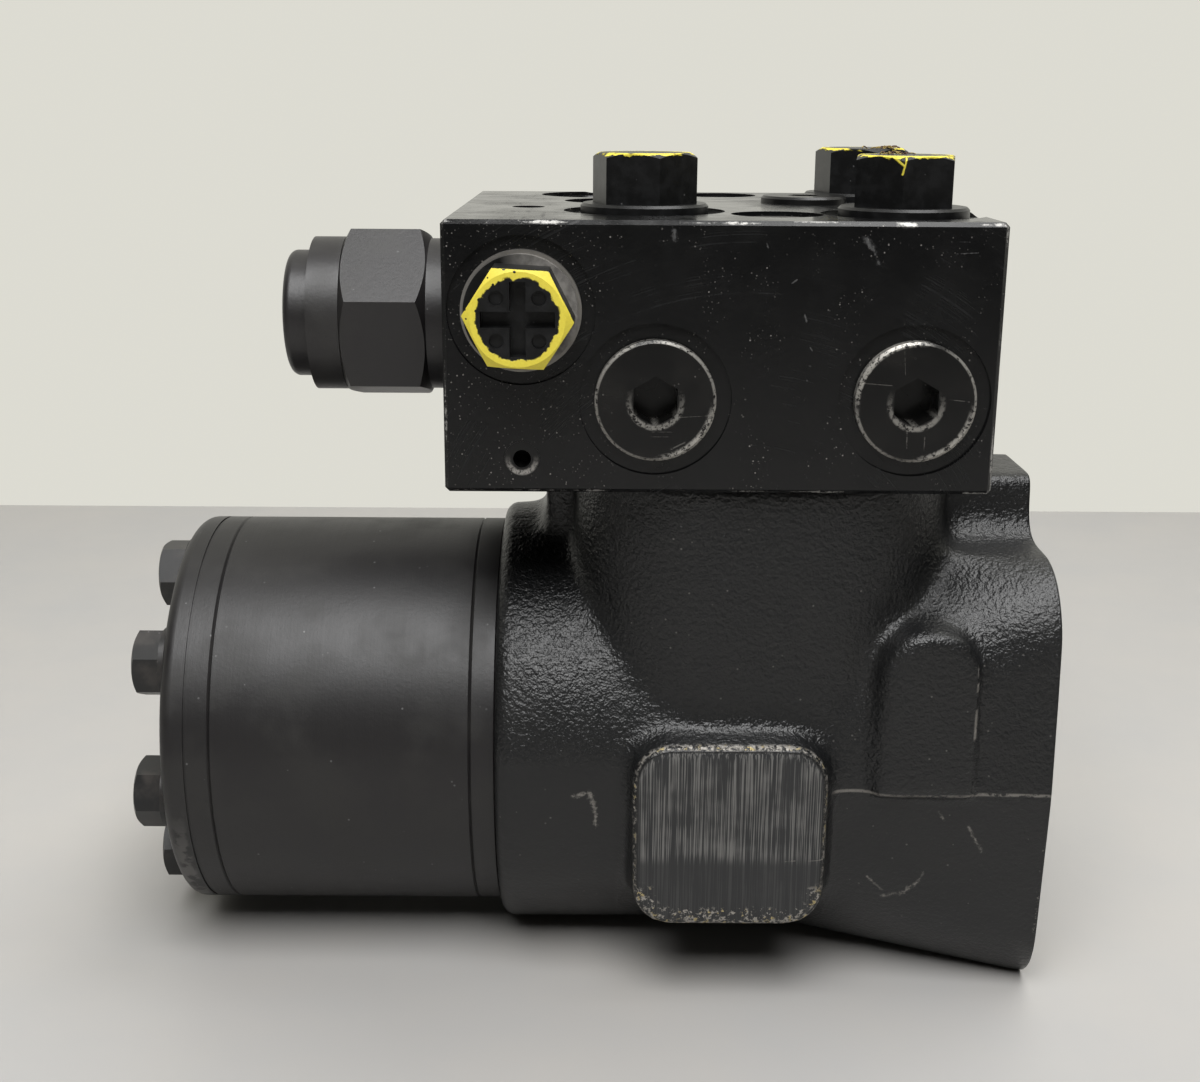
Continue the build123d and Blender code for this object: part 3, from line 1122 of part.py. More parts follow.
with BuildPart() as low_plug:
    with BuildSketch(Plane.XY.offset(BLOCK_TOP_Z)):
        with Locations(LOW_PLUG_PLACE):
            Circle(LOW_PLUG_RADIUS)
    extrude(amount=LOW_PLUG_THICKNESS)
    chamfer(low_plug.faces().sort_by(Axis.Z)[-1].edges(), PORT_PLUG_BEVEL)
    with BuildSketch(Plane.XY.offset(BLOCK_TOP_Z)):
        with Locations(LOW_PLUG_PLACE):
            Circle(LOW_PLUG_THREAD)
    extrude(amount=-LOW_PLUG_LENGTH)
    with BuildSketch(Plane.XY.offset(BLOCK_TOP_Z + LOW_PLUG_THICKNESS)):
        with Locations(LOW_PLUG_PLACE):
            RegularPolygon(LOW_PLUG_SOCKET / 2, 6, major_radius=False)
    extrude(amount=-LOW_PLUG_LENGTH / 2, mode=Mode.SUBTRACT)
low_plug.part.label = "low_plug"
export_step(low_plug.part, "parts/low_plug.step")

# ================================================================ priority valve
cap_steps = [(CAP_COLLAR_RADIUS, CAP_COLLAR_LENGTH), (None, CAP_HEX_LENGTH), (CAP_STEP_RADIUS, CAP_STEP_LENGTH)]
priority_left = Plane(origin=(-BLOCK_LEFT, PRIORITY_Y, PRIORITY_Z), x_dir=(0, 1, 0), z_dir=(-1, 0, 0))
cap_hexagon = hexagon(
    priority_left.offset(CAP_COLLAR_LENGTH), CAP_HEX_ACROSS, CAP_HEX_LENGTH, -CAP_HEX_TURN, both_ends=True
)
cap_length = CAP_COLLAR_LENGTH + CAP_HEX_LENGTH + CAP_STEP_LENGTH + CAP_END_LENGTH
with BuildPart() as priority_cap:
    with BuildSketch(priority_left.offset(-CAP_THREAD_LENGTH)):
        Circle(CAP_THREAD_RADIUS)
    extrude(amount=CAP_THREAD_LENGTH)
    with BuildSketch(priority_left):
        Circle(CAP_COLLAR_RADIUS)
    extrude(amount=CAP_COLLAR_LENGTH)
    add(cap_hexagon)
    with BuildSketch(priority_left.offset(CAP_COLLAR_LENGTH + CAP_HEX_LENGTH)):
        Circle(CAP_STEP_RADIUS)
    extrude(amount=CAP_STEP_LENGTH)
    with BuildSketch(priority_left.offset(cap_length - CAP_END_LENGTH)):
        Circle(CAP_END_RADIUS)
    extrude(amount=CAP_END_LENGTH)
    fillet(priority_cap.faces().sort_by(Axis.X)[0].edges(), CAP_END_ROUND)
    with BuildSketch(priority_left.offset(-CAP_THREAD_LENGTH)):
        Circle(CAP_BORE)
    extrude(amount=CAP_THREAD_LENGTH + cap_length - CAP_WALL, mode=Mode.SUBTRACT)
priority_cap.part.label = "priority_cap"
export_step(priority_cap.part, "parts/priority_cap.step")

with BuildPart() as cap_seal:
    with BuildSketch(priority_left.offset(-CAP_SEAL_DEPTH)):
        Circle(CAP_SEAL_RADIUS - RUNNING)
        Circle(CAP_THREAD_RADIUS + THREAD_GAP, mode=Mode.SUBTRACT)
    extrude(amount=CAP_SEAL_DEPTH)
cap_seal.part.label = "cap_seal"
export_step(cap_seal.part, "parts/cap_seal.step")

priority_floor = Plane(origin=(-PRIORITY_BORE_END, PRIORITY_Y, PRIORITY_Z), x_dir=(0, 1, 0), z_dir=(-1, 0, 0))
with BuildPart() as priority_spool:
    reach = RUNNING
    for land, groove in PRIORITY_LANDS:
        with BuildSketch(priority_floor.offset(reach)):
            Circle(PRIORITY_BORE - RUNNING)
        extrude(amount=land)
        with BuildSketch(priority_floor.offset(reach + land)):
            Circle(PRIORITY_WAIST)
        extrude(amount=groove)
        reach += land + groove
    with BuildSketch(priority_floor.offset(reach)):
        Circle(PRIORITY_BORE - RUNNING)
    extrude(amount=PRIORITY_LAST_LAND)
    reach += PRIORITY_LAST_LAND
priority_spool.part.label = "priority_spool"
export_step(priority_spool.part, "parts/priority_spool.step")

spring_room = BLOCK_LEFT + cap_length - CAP_WALL - PRIORITY_BORE_END - reach
priority_spring = coil(
    priority_floor.offset(reach + RUNNING), spring_room - 2 * RUNNING,
    PRIORITY_SPRING_RADIUS, SPRING_WIRE, PRIORITY_SPRING_TURNS,
)
priority_spring.label = "priority_spring"
export_step(priority_spring, "parts/priority_spring.step")
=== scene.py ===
"""Looks of an orbital steering unit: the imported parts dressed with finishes, on a pale floor."""

import json
import logging
import math
import random
from dataclasses import dataclass
from enum import Enum
from functools import cache, cached_property
from typing import Any, Iterable

import bpy
from mathutils import Matrix, Vector


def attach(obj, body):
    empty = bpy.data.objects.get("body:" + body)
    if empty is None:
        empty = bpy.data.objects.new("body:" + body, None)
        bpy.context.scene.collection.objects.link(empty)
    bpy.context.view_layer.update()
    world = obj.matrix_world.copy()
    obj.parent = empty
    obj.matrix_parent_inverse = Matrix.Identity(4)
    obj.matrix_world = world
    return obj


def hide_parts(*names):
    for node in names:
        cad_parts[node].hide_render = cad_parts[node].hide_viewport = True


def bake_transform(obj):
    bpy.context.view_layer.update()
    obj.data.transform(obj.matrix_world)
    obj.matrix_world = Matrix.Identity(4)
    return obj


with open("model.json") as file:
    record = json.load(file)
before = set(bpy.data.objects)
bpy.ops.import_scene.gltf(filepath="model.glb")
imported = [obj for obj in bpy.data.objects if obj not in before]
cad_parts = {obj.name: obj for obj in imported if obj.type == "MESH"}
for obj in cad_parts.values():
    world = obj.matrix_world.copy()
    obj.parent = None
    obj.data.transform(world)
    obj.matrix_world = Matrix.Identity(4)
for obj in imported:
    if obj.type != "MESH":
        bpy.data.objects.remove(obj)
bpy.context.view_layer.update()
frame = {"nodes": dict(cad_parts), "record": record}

MM = 0.001
LOG = logging.getLogger("steering_unit")

Point = tuple[float, float]
Triple = tuple[float, float, float]
Colour = tuple[float, float, float, float]
Mark = tuple[Point, Point, float]


@cache
def extent(node: str) -> tuple[Vector, Vector]:
    """The lowest and the highest corner of a CAD node's box, in millimetres."""
    places = [vertex.co / MM for vertex in frame["nodes"][node].data.vertices]
    low = Vector([min(place[axis] for place in places) for axis in range(3)])
    high = Vector([max(place[axis] for place in places) for axis in range(3)])
    return low, high


# ---------------------------------------------------------------- shader workbench
class Wire:
    """A shader socket that takes part in Python expressions."""

    def __init__(self, bench: "Bench", socket: bpy.types.NodeSocket) -> None:
        """Holds a socket and the bench whose nodes it belongs to."""
        self.bench = bench
        self.socket = socket

    def _math(self, operation: str, *terms: Any, clamp: bool = False) -> "Wire":
        """Adds a Math node.

        Args:
            operation: the Math node's operation.
            terms: wires or numbers, in the order of the node's sockets.
            clamp: whether the result is held between 0 and 1.

        Returns:
            The node's result.
        """
        inputs = dict(enumerate(terms))
        return self.bench.node("ShaderNodeMath", {"operation": operation, "use_clamp": clamp}, inputs)

    def __add__(self, other: Any) -> "Wire":
        """The sum."""
        return self._math("ADD", self, other)

    def __radd__(self, other: Any) -> "Wire":
        """The sum."""
        return self._math("ADD", other, self)

    def __sub__(self, other: Any) -> "Wire":
        """The difference."""
        return self._math("SUBTRACT", self, other)

    def __rsub__(self, other: Any) -> "Wire":
        """The difference from a number."""
        return self._math("SUBTRACT", other, self)

    def __mul__(self, other: Any) -> "Wire":
        """The product."""
        return self._math("MULTIPLY", self, other)

    def __truediv__(self, other: Any) -> "Wire":
        """The quotient."""
        return self._math("DIVIDE", self, other)

    def __pow__(self, other: Any) -> "Wire":
        """The power."""
        return self._math("POWER", self, other)

    def __abs__(self) -> "Wire":
        """The size without its sign."""
        return self._math("ABSOLUTE", self)

    def beside(self, output: Any) -> "Wire":
        """Another output of the same node, by name or number."""
        return Wire(self.bench, self.socket.node.outputs[output])

    def at_most(self, other: Any) -> "Wire":
        """The smaller of the two."""
        return self._math("MINIMUM", self, other)

    def at_least(self, other: Any) -> "Wire":
        """The larger of the two."""
        return self._math("MAXIMUM", self, other)

    def held(self) -> "Wire":
        """The value held between 0 and 1."""
        return self._math("ADD", self, 0.0, clamp=True)

    def rise(self, low: Any, high: Any) -> "Wire":
        """A smooth step.

        Args:
            low: the value where the step starts, at 0.
            high: the value where the step ends, at 1.

        Returns:
            A mask from 0 to 1.
        """
        return self.bench.node(
            "ShaderNodeMapRange", {"interpolation_type": "SMOOTHSTEP"}, {0: self, 1: low, 2: high}
        )

    def fall(self, low: Any, high: Any) -> "Wire":
        """The reverse of rise: 1 below low, and 0 above high."""
        return 1.0 - self.rise(low, high)


class Bench:
    """The nodes of one material, or of the world."""

    def __init__(self, owner: bpy.types.ID) -> None:
        """Takes hold of the nodes that a new material or world starts with.

        Args:
            owner: the material or the world.
        """
        owner.use_nodes = True
        self.owner = owner
        self.tree = owner.node_tree
        self.shader = next(node for node in self.tree.nodes if node.type in ("BSDF_PRINCIPLED", "BACKGROUND"))

    @cached_property
    def place(self) -> Wire:
        """The shaded point in millimetres."""
        return self.vector("SCALE", self.node("ShaderNodeTexCoord", output="Object"), scale=1 / MM)

    def plug(self, socket: bpy.types.NodeSocket, value: Any) -> None:
        """Links a wire to an input, or gives the input a plain value."""
        if isinstance(value, Wire):
            self.tree.links.new(value.socket, socket)
        else:
            socket.default_value = value

    def node(
        self,
        kind: str,
        settings: dict[str, Any] | None = None,
        inputs: dict[Any, Any] | None = None,
        output: Any = 0,
    ) -> Wire:
        """Adds a node.

        Args:
            kind: the node's type.
            settings: attributes that are set before the sockets.
            inputs: values or wires by socket name or number.
            output: name or number of the output that is wanted.

        Returns:
            That output.
        """
        made = self.tree.nodes.new(kind)
        for key, value in (settings or {}).items():
            setattr(made, key, value)
        for key, value in (inputs or {}).items():
            self.plug(made.inputs[key], value)
        return Wire(self, made.outputs[output])

    def vector(self, operation: str, first: Any, second: Any = None, scale: float | None = None) -> Wire:
        """Adds a Vector Math node.

        Args:
            operation: the node's operation.
            first: a wire or three numbers.
            second: the other operand, if the operation has one.
            scale: the factor of a SCALE operation.

        Returns:
            The node's vector.
        """
        inputs: dict[Any, Any] = {0: first}
        if second is not None:
            inputs[1] = second
        if scale is not None:
            inputs["Scale"] = scale
        return self.node("ShaderNodeVectorMath", {"operation": operation}, inputs)

    def parts(self) -> tuple[Wire, Wire, Wire]:
        """The x, y and z of the place."""
        x = self.node("ShaderNodeSeparateXYZ", None, {0: self.place})
        return x, x.beside(1), x.beside(2)

    def joined(self, x: Any, y: Any, z: Any) -> Wire:
        """A vector from three values."""
        return self.node("ShaderNodeCombineXYZ", None, {0: x, 1: y, 2: z})

    def noise(self, size: float, detail: float = 2.0, rough: float = 0.5, place: Wire | None = None) -> Wire:
        """Noise whose lumps are about the size given.

        Args:
            size: millimetres across a lump.
            detail: how many finer layers there are.
            rough: the strength of the finer layers.
            place: where it is read, in millimetres.

        Returns:
            A value around 0.5.
        """
        inputs = {"Vector": place or self.place, "Scale": 1 / size, "Detail": detail, "Roughness": rough}
        return self.node("ShaderNodeTexNoise", None, inputs)

    def cells(self, size: float) -> Wire:
        """Distance to the nearest of scattered points, whose spacing is about the size given."""
        return self.node("ShaderNodeTexVoronoi", None, {"Vector": self.place, "Scale": 1 / size})

    def specks(self, size: float, low: float = 0.05, high: float = 0.1) -> Wire:
        """Scattered specks.

        Args:
            size: millimetres between them.
            low: their radius as a share of that.
            high: where their soft edge ends.

        Returns:
            A mask, 1 inside a speck.
        """
        return self.cells(size).fall(low, high)

    def stretched(self, x: float, y: float, z: float) -> Wire:
        """The place with each axis divided, so that a pattern is that many times longer along it."""
        return self.vector("MULTIPLY", self.place, (1 / x, 1 / y, 1 / z))

    def mixed(self, mask: Wire, first: Any, second: Any) -> Wire:
        """One colour over another: the first where the mask is 0, the second where it is 1."""
        return self.node("ShaderNodeMix", {"data_type": "RGBA"}, {0: mask, 6: first, 7: second}, output=2)

    def relief(self, height: Wire, depth: float) -> Wire:
        """A Bump node.

        Args:
            height: the height map, from 0 to 1.
            depth: millimetres between 0 and 1.

        Returns:
            The new normal.
        """
        return self.node("ShaderNodeBump", None, {"Height": height, "Distance": depth * MM, "Strength": 1.0})

    def strokes(self, marks: Iterable["Mark"], edge: Wire) -> Wire:
        """Short straight marks, drawn as seen from the front.

        Args:
            marks: their ends, as x and z in millimetres, and their half-widths.
            edge: a number from 0 to 1 that makes their outlines ragged.

        Returns:
            A mask, 1 inside a mark.
        """
        x, _, z = self.parts()
        mask = x * 0.0
        for start, end, width in marks:
            run_x, run_z = end[0] - start[0], end[1] - start[1]
            dx, dz = x - start[0], z - start[1]
            share = ((dx * run_x + dz * run_z) * (1 / (run_x ** 2 + run_z ** 2))).held()
            off = distance(dx - share * run_x, dz - share * run_z)
            mask = mask.at_least((off + edge * width * 1.6).fall(width * 0.7, width * 1.3))
        return mask

    def set(self, **sockets: Any) -> None:
        """Sets or links the shader's sockets.

        Args:
            sockets: values or wires, with an underscore for each space in a socket's name.
        """
        for key, value in sockets.items():
            self.plug(self.shader.inputs[key.replace("_", " ")], value)


def distance(across: Wire, along: Wire) -> Wire:
    """The length of a step across and along."""
    return (across ** 2 + along ** 2) ** 0.5


def grey(level: float, tint: Triple = (1.0, 1.0, 1.0)) -> Colour:
    """A grey of that level, leaning to the tint."""
    return (level * tint[0], level * tint[1], level * tint[2], 1.0)


# ---------------------------------------------------------------- finishes
COOL = (0.97, 1.0, 1.05)
WARM = (1.05, 1.0, 0.93)
SCUFF = (0.33, 0.31, 0.28, 1.0)
YELLOW = (0.78, 0.68, 0.08, 1.0)
UNWORN = -400.0     # further left than any piece, so that no place is worn
FRONT = (-30.0, -29.0)      # from here forwards along y, a place belongs to the unit's front


@dataclass(frozen=True)
class Finish:
    """A material by name. Each kind of finish wires its own."""

    name: str

    def material(self) -> bpy.types.Material:
        """Makes the finish.

        Returns:
            The material.
        """
        bench = Bench(bpy.data.materials.new(self.name))
        self.wire(bench)
        return bench.owner

    def wire(self, b: Bench) -> None:
        """Wires the shader.

        Args:
            b: the new material's bench.
        """
        raise NotImplementedError(self.name)


@dataclass(frozen=True)
class CastPaint(Finish):
    """Semi-gloss black paint over a sand casting's skin, with the pads' and the parting line's wear."""

    name: str = "cast_paint"
    level: float = 0.008
    peel_size: float = 0.95
    peel_depth: float = 0.42
    pad_left: float = -82.6
    pad_right: float = -43.5
    pad_top: float = 12.0
    pad_bottom: float = -27.5
    pad_corner: float = 8.0
    scratched_down_to: float = -12.4
    arch_middle: float = -25.1
    arch_radius: float = 9.2
    arch_face: float = 49.3
    arch_foot: float = 12.0
    arch_top: float = 28.0
    parting_height: float = 0.4
    parting_left: float = -43.5
    smooth_right: float = -84.5
    smooth_top: float = 6.0
    marks: tuple[Mark, ...] = (
        ((-15.5, -6.7), (-12.5, -12.1), 0.9),
        ((-31.1, -23.6), (-27.1, -22.2), 1.3),
        ((-27.1, -22.2), (-24.6, -19.6), 1.2),
        ((-24.3, -19.4), (-23.6, -17.4), 0.8),
        ((-34.6, -18.9), (-31.4, -22.0), 0.7),
        ((-93.9, -1.2), (-91.5, -0.6), 1.2),
        ((-90.6, -0.6), (-89.6, -3.6), 1.6),
        ((-89.5, -4.0), (-89.3, -7.9), 1.1),
        ((-21.5, -3.6), (-20.4, -5.2), 0.9),
        ((-52.6, -12.6), (-50.1, -12.4), 0.35),
        ((-47.5, -12.4), (-43.8, -12.3), 0.25),
    )

    def wire(self, b: Bench) -> None:
        """Wires the shader: see Finish."""
        low, high = extent("housing")
        x, y, z = b.parts()
        side, front = abs(y), y.fall(*FRONT)
        rim = self._rim(x, z)
        proud = side.rise(high.y - 2.2, high.y - 0.9)
        on_pad = side.rise(high.y - 0.4, high.y - 0.2) * rim.fall(-1.5, -0.9)
        # casting skin, calmer where the mould was dressed and where the metal is machined
        skin = b.noise(self.peel_size, 1.0, 0.4) * 0.65 + b.noise(self.peel_size * 0.42, 1.0) * 0.35
        dressed = x.fall(self.smooth_right - 1.0, self.smooth_right + 1.0)
        dressed = dressed * z.fall(self.smooth_top - 3, self.smooth_top + 2)
        lower_half = z.fall(-3.0, 1.0) * 0.55
        machined = x.rise(high.x - 0.3, high.x - 0.1) + z.fall(low.z + 0.1, low.z + 0.3)
        machined = (machined + z.rise(high.z - 0.2, high.z - 0.05)).held()
        calm = (dressed.at_least(lower_half) * 0.85 + on_pad + machined).held()
        fine = b.noise(0.9, 4.0, 0.7)
        coarse = b.noise(7.0, 2.0, 0.6)
        # scratches down the pad, and chips that thin out away from its rim
        streaks = b.noise(0.26, 2.0, 0.6, b.stretched(1.0, 1.0, 110.0))
        scratched = z.rise(self.scratched_down_to - 1.5, self.scratched_down_to + 1.5) * 0.85 + 0.15
        scratch = (streaks + coarse * 0.3).rise(0.62, 0.76) * on_pad * scratched
        top = fine.rise(0.44, 0.54) * rim.rise(-1.6, -0.9) * z.rise(6.0, 10.5)
        sides = fine.rise(0.5, 0.58) * rim.rise(-1.5, -0.8)
        scatter = (fine + (rim + 5.5) * 0.03).rise(0.6, 0.68) * z.fall(-20.0, -17.0) * rim.rise(-5.5, -4.0)
        chips = (top + sides + scatter).held() * proud * rim.fall(0.3, 0.9)
        # light chips along the parting line, the arch's rim and the mounting face's edge
        wander = b.noise(8.0, 1.0) * 0.5
        line = abs(z - self.parting_height - wander * 0.5).fall(0.12, 0.5)
        line = line * x.rise(self.parting_left, self.parting_left + 2.0) * side.rise(40.0, 44.0)
        line = line * (fine * 0.6 + coarse * 0.4).rise(0.44, 0.52)
        edge = x.rise(-1.0, -0.3) * x.fall(-0.3, -0.2) * fine.rise(0.58, 0.66) * z.fall(-8.0, 4.0)
        arch = abs(x - self.arch_middle - self.arch_radius).fall(0.15, 0.5)
        arch = arch * side.rise(self.arch_face - 1.2, self.arch_face - 0.4)
        arch = arch * z.rise(self.arch_foot, self.arch_foot + 1.0)
        arch = arch * z.fall(self.arch_top, self.arch_top + 3.0) * b.noise(3.0, 2.0, 0.7).rise(0.46, 0.54)
        scuffs = b.strokes(self.marks, b.noise(0.8, 3.0, 0.7)) * front
        scuffs = scuffs * (fine * 0.6 + coarse * 0.4).rise(0.4, 0.56)
        bare = (chips + line * 0.45 + edge * 0.5 + arch * 0.55 + scuffs * 0.55).held()
        specks = b.specks(2.6) * coarse.rise(0.46, 0.6) * (1.0 - on_pad)
        dust = b.noise(23.0, 4.0, 0.65).rise(0.5, 0.75) * 0.3
        paint = b.mixed(dust, grey(self.level, COOL), grey(self.level * 2.0, WARM))
        paint = b.mixed(on_pad, paint, grey(0.02, COOL))
        paint = b.mixed(scratch * 0.85, paint, grey(0.17, (1.0, 0.98, 0.94)))
        paint = b.mixed(specks * 0.5, paint, grey(0.16, WARM))
        flake = b.mixed(b.noise(1.6, 1.0).rise(0.56, 0.62) * chips, SCUFF, (0.42, 0.34, 0.16, 1.0))
        colour = b.mixed(bare, paint, flake)
        rough = 0.27 + coarse * 0.12 + dust * 0.2 + on_pad * 0.12 + bare * 0.15 + dressed * 0.08
        height = skin * (1.0 - calm * 0.93) - scratch * 0.06 - bare * 0.12
        height = height + b.noise(9.0, 1.0) * 0.7 + b.noise(0.5, 2.0) * 0.03
        b.set(Base_Color=colour, Roughness=rough, Metallic=(bare * 0.3 + scratch * 0.2).held())
        b.set(Normal=b.relief(height, self.peel_depth), Specular_IOR_Level=0.45)

    def _rim(self, x: Wire, z: Wire) -> Wire:
        """How far a place lies outside the pad's rounded outline: 0 at its rim, and negative inside."""
        half_width = (self.pad_right - self.pad_left) / 2 - self.pad_corner
        half_height = (self.pad_top - self.pad_bottom) / 2 - self.pad_corner
        across = abs(x - (self.pad_left + self.pad_right) / 2) - half_width
        along = abs(z - (self.pad_top + self.pad_bottom) / 2) - half_height
        outer = distance(across.at_least(0.0), along.at_least(0.0))
        return outer + across.at_least(along).at_most(0.0) - self.pad_corner


@dataclass(frozen=True)
class BlockPaint(Finish):
    """Glossy black paint on machined faces, worn to bright metal along the block's edges."""

    name: str = "block_paint"
    level: float = 0.004
    cutter: Point = (-62.0, 40.0)       # middle of the cutter's rings, as x and z
    crowded: Point = (-98.0, -84.0)     # left of these places the specks crowd
    marks: tuple[Mark, ...] = (
        ((-75.9, 109.2), (-75.8, 107.7), 1.4),
        ((-41.9, 107.9), (-40.6, 106.2), 1.6),
        ((-40.4, 106.0), (-39.5, 103.5), 0.9),
        ((-59.5, 107.0), (-59.2, 106.2), 0.4),
        ((-54.8, 100.0), (-53.9, 100.6), 0.35),
        ((-52.2, 94.4), (-51.9, 93.2), 0.4),
        ((-51.0, 88.5), (-50.6, 87.9), 0.3),
        ((-51.3, 85.2), (-50.8, 85.1), 0.3),
        ((-51.6, 83.2), (-51.3, 82.4), 0.35),
        ((-25.6, 105.4), (-21.8, 105.6), 0.25),
        ((-25.4, 107.5), (-23.4, 107.5), 0.18),
    )
    chips: tuple[Mark, ...] = (
        ((-36.2, 110.6), (-33.4, 110.4), 1.3),
        ((-54.5, 110.9), (-47.0, 110.8), 0.6),
        ((-21.4, 61.4), (-17.0, 61.4), 0.7),
        ((-16.4, 61.4), (-16.3, 66.0), 0.5),
        ((-16.3, 82.0), (-16.2, 91.0), 0.35),
        ((-117.5, 110.9), (-116.6, 110.9), 0.7),
    )

    def wire(self, b: Bench) -> None:
        """Wires the shader: see Finish."""
        low, high = extent("valve_block")
        x, y, z = b.parts()
        dx = (x - low.x).at_most(high.x - x)
        dy = high.y - abs(y)
        dz = (z - low.z).at_most(high.z - z)
        # the middle one of the three distances to a face is the distance to the nearest edge
        edge = dx.at_most(dy).at_least(dx.at_least(dy).at_most(dz))
        front = y.fall(low.y + 2.5, low.y + 3.5)
        fine = b.noise(0.7, 4.0, 0.7)
        coarse = b.noise(17.0, 2.0)
        reach = coarse.rise(0.42, 0.7) * 0.55 + 0.12
        wear = (edge + fine * 0.5 - 0.15).fall(reach, reach + 0.3) * b.noise(2.0, 3.0, 0.7).rise(0.4, 0.54)
        chips = b.strokes(self.chips, b.noise(1.4, 4.0, 0.7)) * y.fall(low.y + 0.5, low.y + 0.9)
        bare = (wear * (0.35 + coarse * 0.5) + chips * fine.rise(0.34, 0.46)).held()
        smears = b.strokes(self.marks, fine) * front * b.noise(1.3, 3.0, 0.6).rise(0.36, 0.6)
        # cutter rings, cloudy rubbed places, and specks that crowd on the left
        turn = distance(x - self.cutter[0], z - self.cutter[1])
        rings = b.noise(0.5, 2.0, 0.5, b.joined(turn, y * 0.05, 0.0))
        cloud = b.noise(13.0, 3.0, 0.6)
        rubbed = rings.rise(0.5, 0.75) * cloud.rise(0.46, 0.66)
        crowd = (b.noise(8.0, 2.0) + x.fall(*self.crowded) * 0.16).rise(0.48, 0.64)
        specks = (b.specks(1.5, 0.06, 0.13) + b.specks(0.8, 0.08, 0.16) * 0.5).held() * crowd
        colour = b.mixed(rubbed * 0.5, grey(self.level, COOL), grey(0.016, COOL))
        colour = b.mixed(specks * 0.7, colour, grey(0.25, WARM))
        colour = b.mixed(smears * 0.4, colour, grey(0.2))
        colour = b.mixed(bare, colour, grey(0.5, (1.0, 0.98, 0.93)))
        rough = 0.16 + cloud.rise(0.35, 0.75) * 0.12 + rubbed * 0.12 + bare * 0.16 + smears * 0.2
        height = b.noise(1.1, 2.0) * 0.25 + b.noise(16.0, 1.0) * 1.2 + crowd * fine * 0.3 - bare * 0.5
        b.set(Base_Color=colour, Roughness=rough, Metallic=(bare * 0.7).held())
        b.set(Normal=b.relief(height, 0.05), Specular_IOR_Level=0.35)


@dataclass(frozen=True)
class TurnedPaint(Finish):
    """Satin black on turned discs: fine rings round the shaft axis and a few dull rubs."""

    name: str = "turned_paint"
    level: float = 0.009
    roughness: float = 0.4
    ring_pitch: float = 0.5
    worn_radius: float = 45.4
    worn_from: float = -173.0

    def wire(self, b: Bench) -> None:
        """Wires the shader: see Finish."""
        x, y, z = b.parts()
        radius = distance(y, z)
        # one coordinate along the profile, so that rings run round both rim and face
        rings = b.noise(1.0, 3.0, 0.6, b.joined(x / self.ring_pitch, radius / self.ring_pitch, 0.0))
        cloud = b.noise(15.0, 3.0, 0.6)
        dull = cloud.rise(0.42, 0.7)
        fine = b.noise(0.9, 4.0, 0.7)
        grime = b.noise(1.3, 3.0, 0.7).rise(0.62, 0.72) * dull
        specks = b.specks(3.0, high=0.09) * b.noise(11.0, 2.0).rise(0.5, 0.62)
        # the cover's outer edge is rubbed bright low down on the side that the unit was dragged on
        low = (z * -0.8 - y * 0.5).rise(24.0, 38.0)
        rubbed = x.fall(self.worn_from, self.worn_from + 1.2) * low
        rubbed = rubbed * b.noise(4.0, 3.0, 0.7).rise(0.42, 0.56)
        rubbed = rubbed * radius.rise(self.worn_radius - 4.0, self.worn_radius - 2.5)
        colour = b.mixed(dull * 0.7, grey(self.level, (1.08, 0.98, 1.02)), grey(self.level * 1.9, WARM))
        colour = b.mixed(grime * 0.4, colour, grey(0.004))
        colour = b.mixed(specks * 0.5, colour, grey(0.2))
        colour = b.mixed(rubbed * 0.6, colour, grey(0.3, (1.0, 0.97, 0.92)))
        rough = self.roughness + dull * 0.1 + rings * 0.06
        b.set(Base_Color=colour, Roughness=rough, Metallic=(rubbed * 0.5).held())
        b.set(Normal=b.relief(rings * 0.5 + cloud * 0.5 + fine * 1.2, 0.03))


@dataclass(frozen=True)
class BlackOxide(Finish):
    """Black oxide on machined steel, a little browned and rubbed."""

    level: float = 0.008
    roughness: float = 0.3
    brown: float = 0.3

    def wire(self, b: Bench) -> None:
        """Wires the shader: see Finish."""
        fine = b.noise(0.5, 3.0, 0.7)
        cloud = b.noise(5.0, 3.0, 0.6)
        specks = b.specks(2.1) * cloud.rise(0.48, 0.6)
        browned = grey(self.level * 4, (1.1, 0.95, 0.85))
        colour = b.mixed(cloud.rise(0.4, 0.7) * self.brown, grey(self.level), browned)
        colour = b.mixed(specks * 0.5, colour, grey(0.2))
        b.set(Base_Color=colour, Roughness=self.roughness + cloud * 0.14)
        b.set(Normal=b.relief(fine * 0.6 + cloud, 0.02), Specular_IOR_Level=0.4)


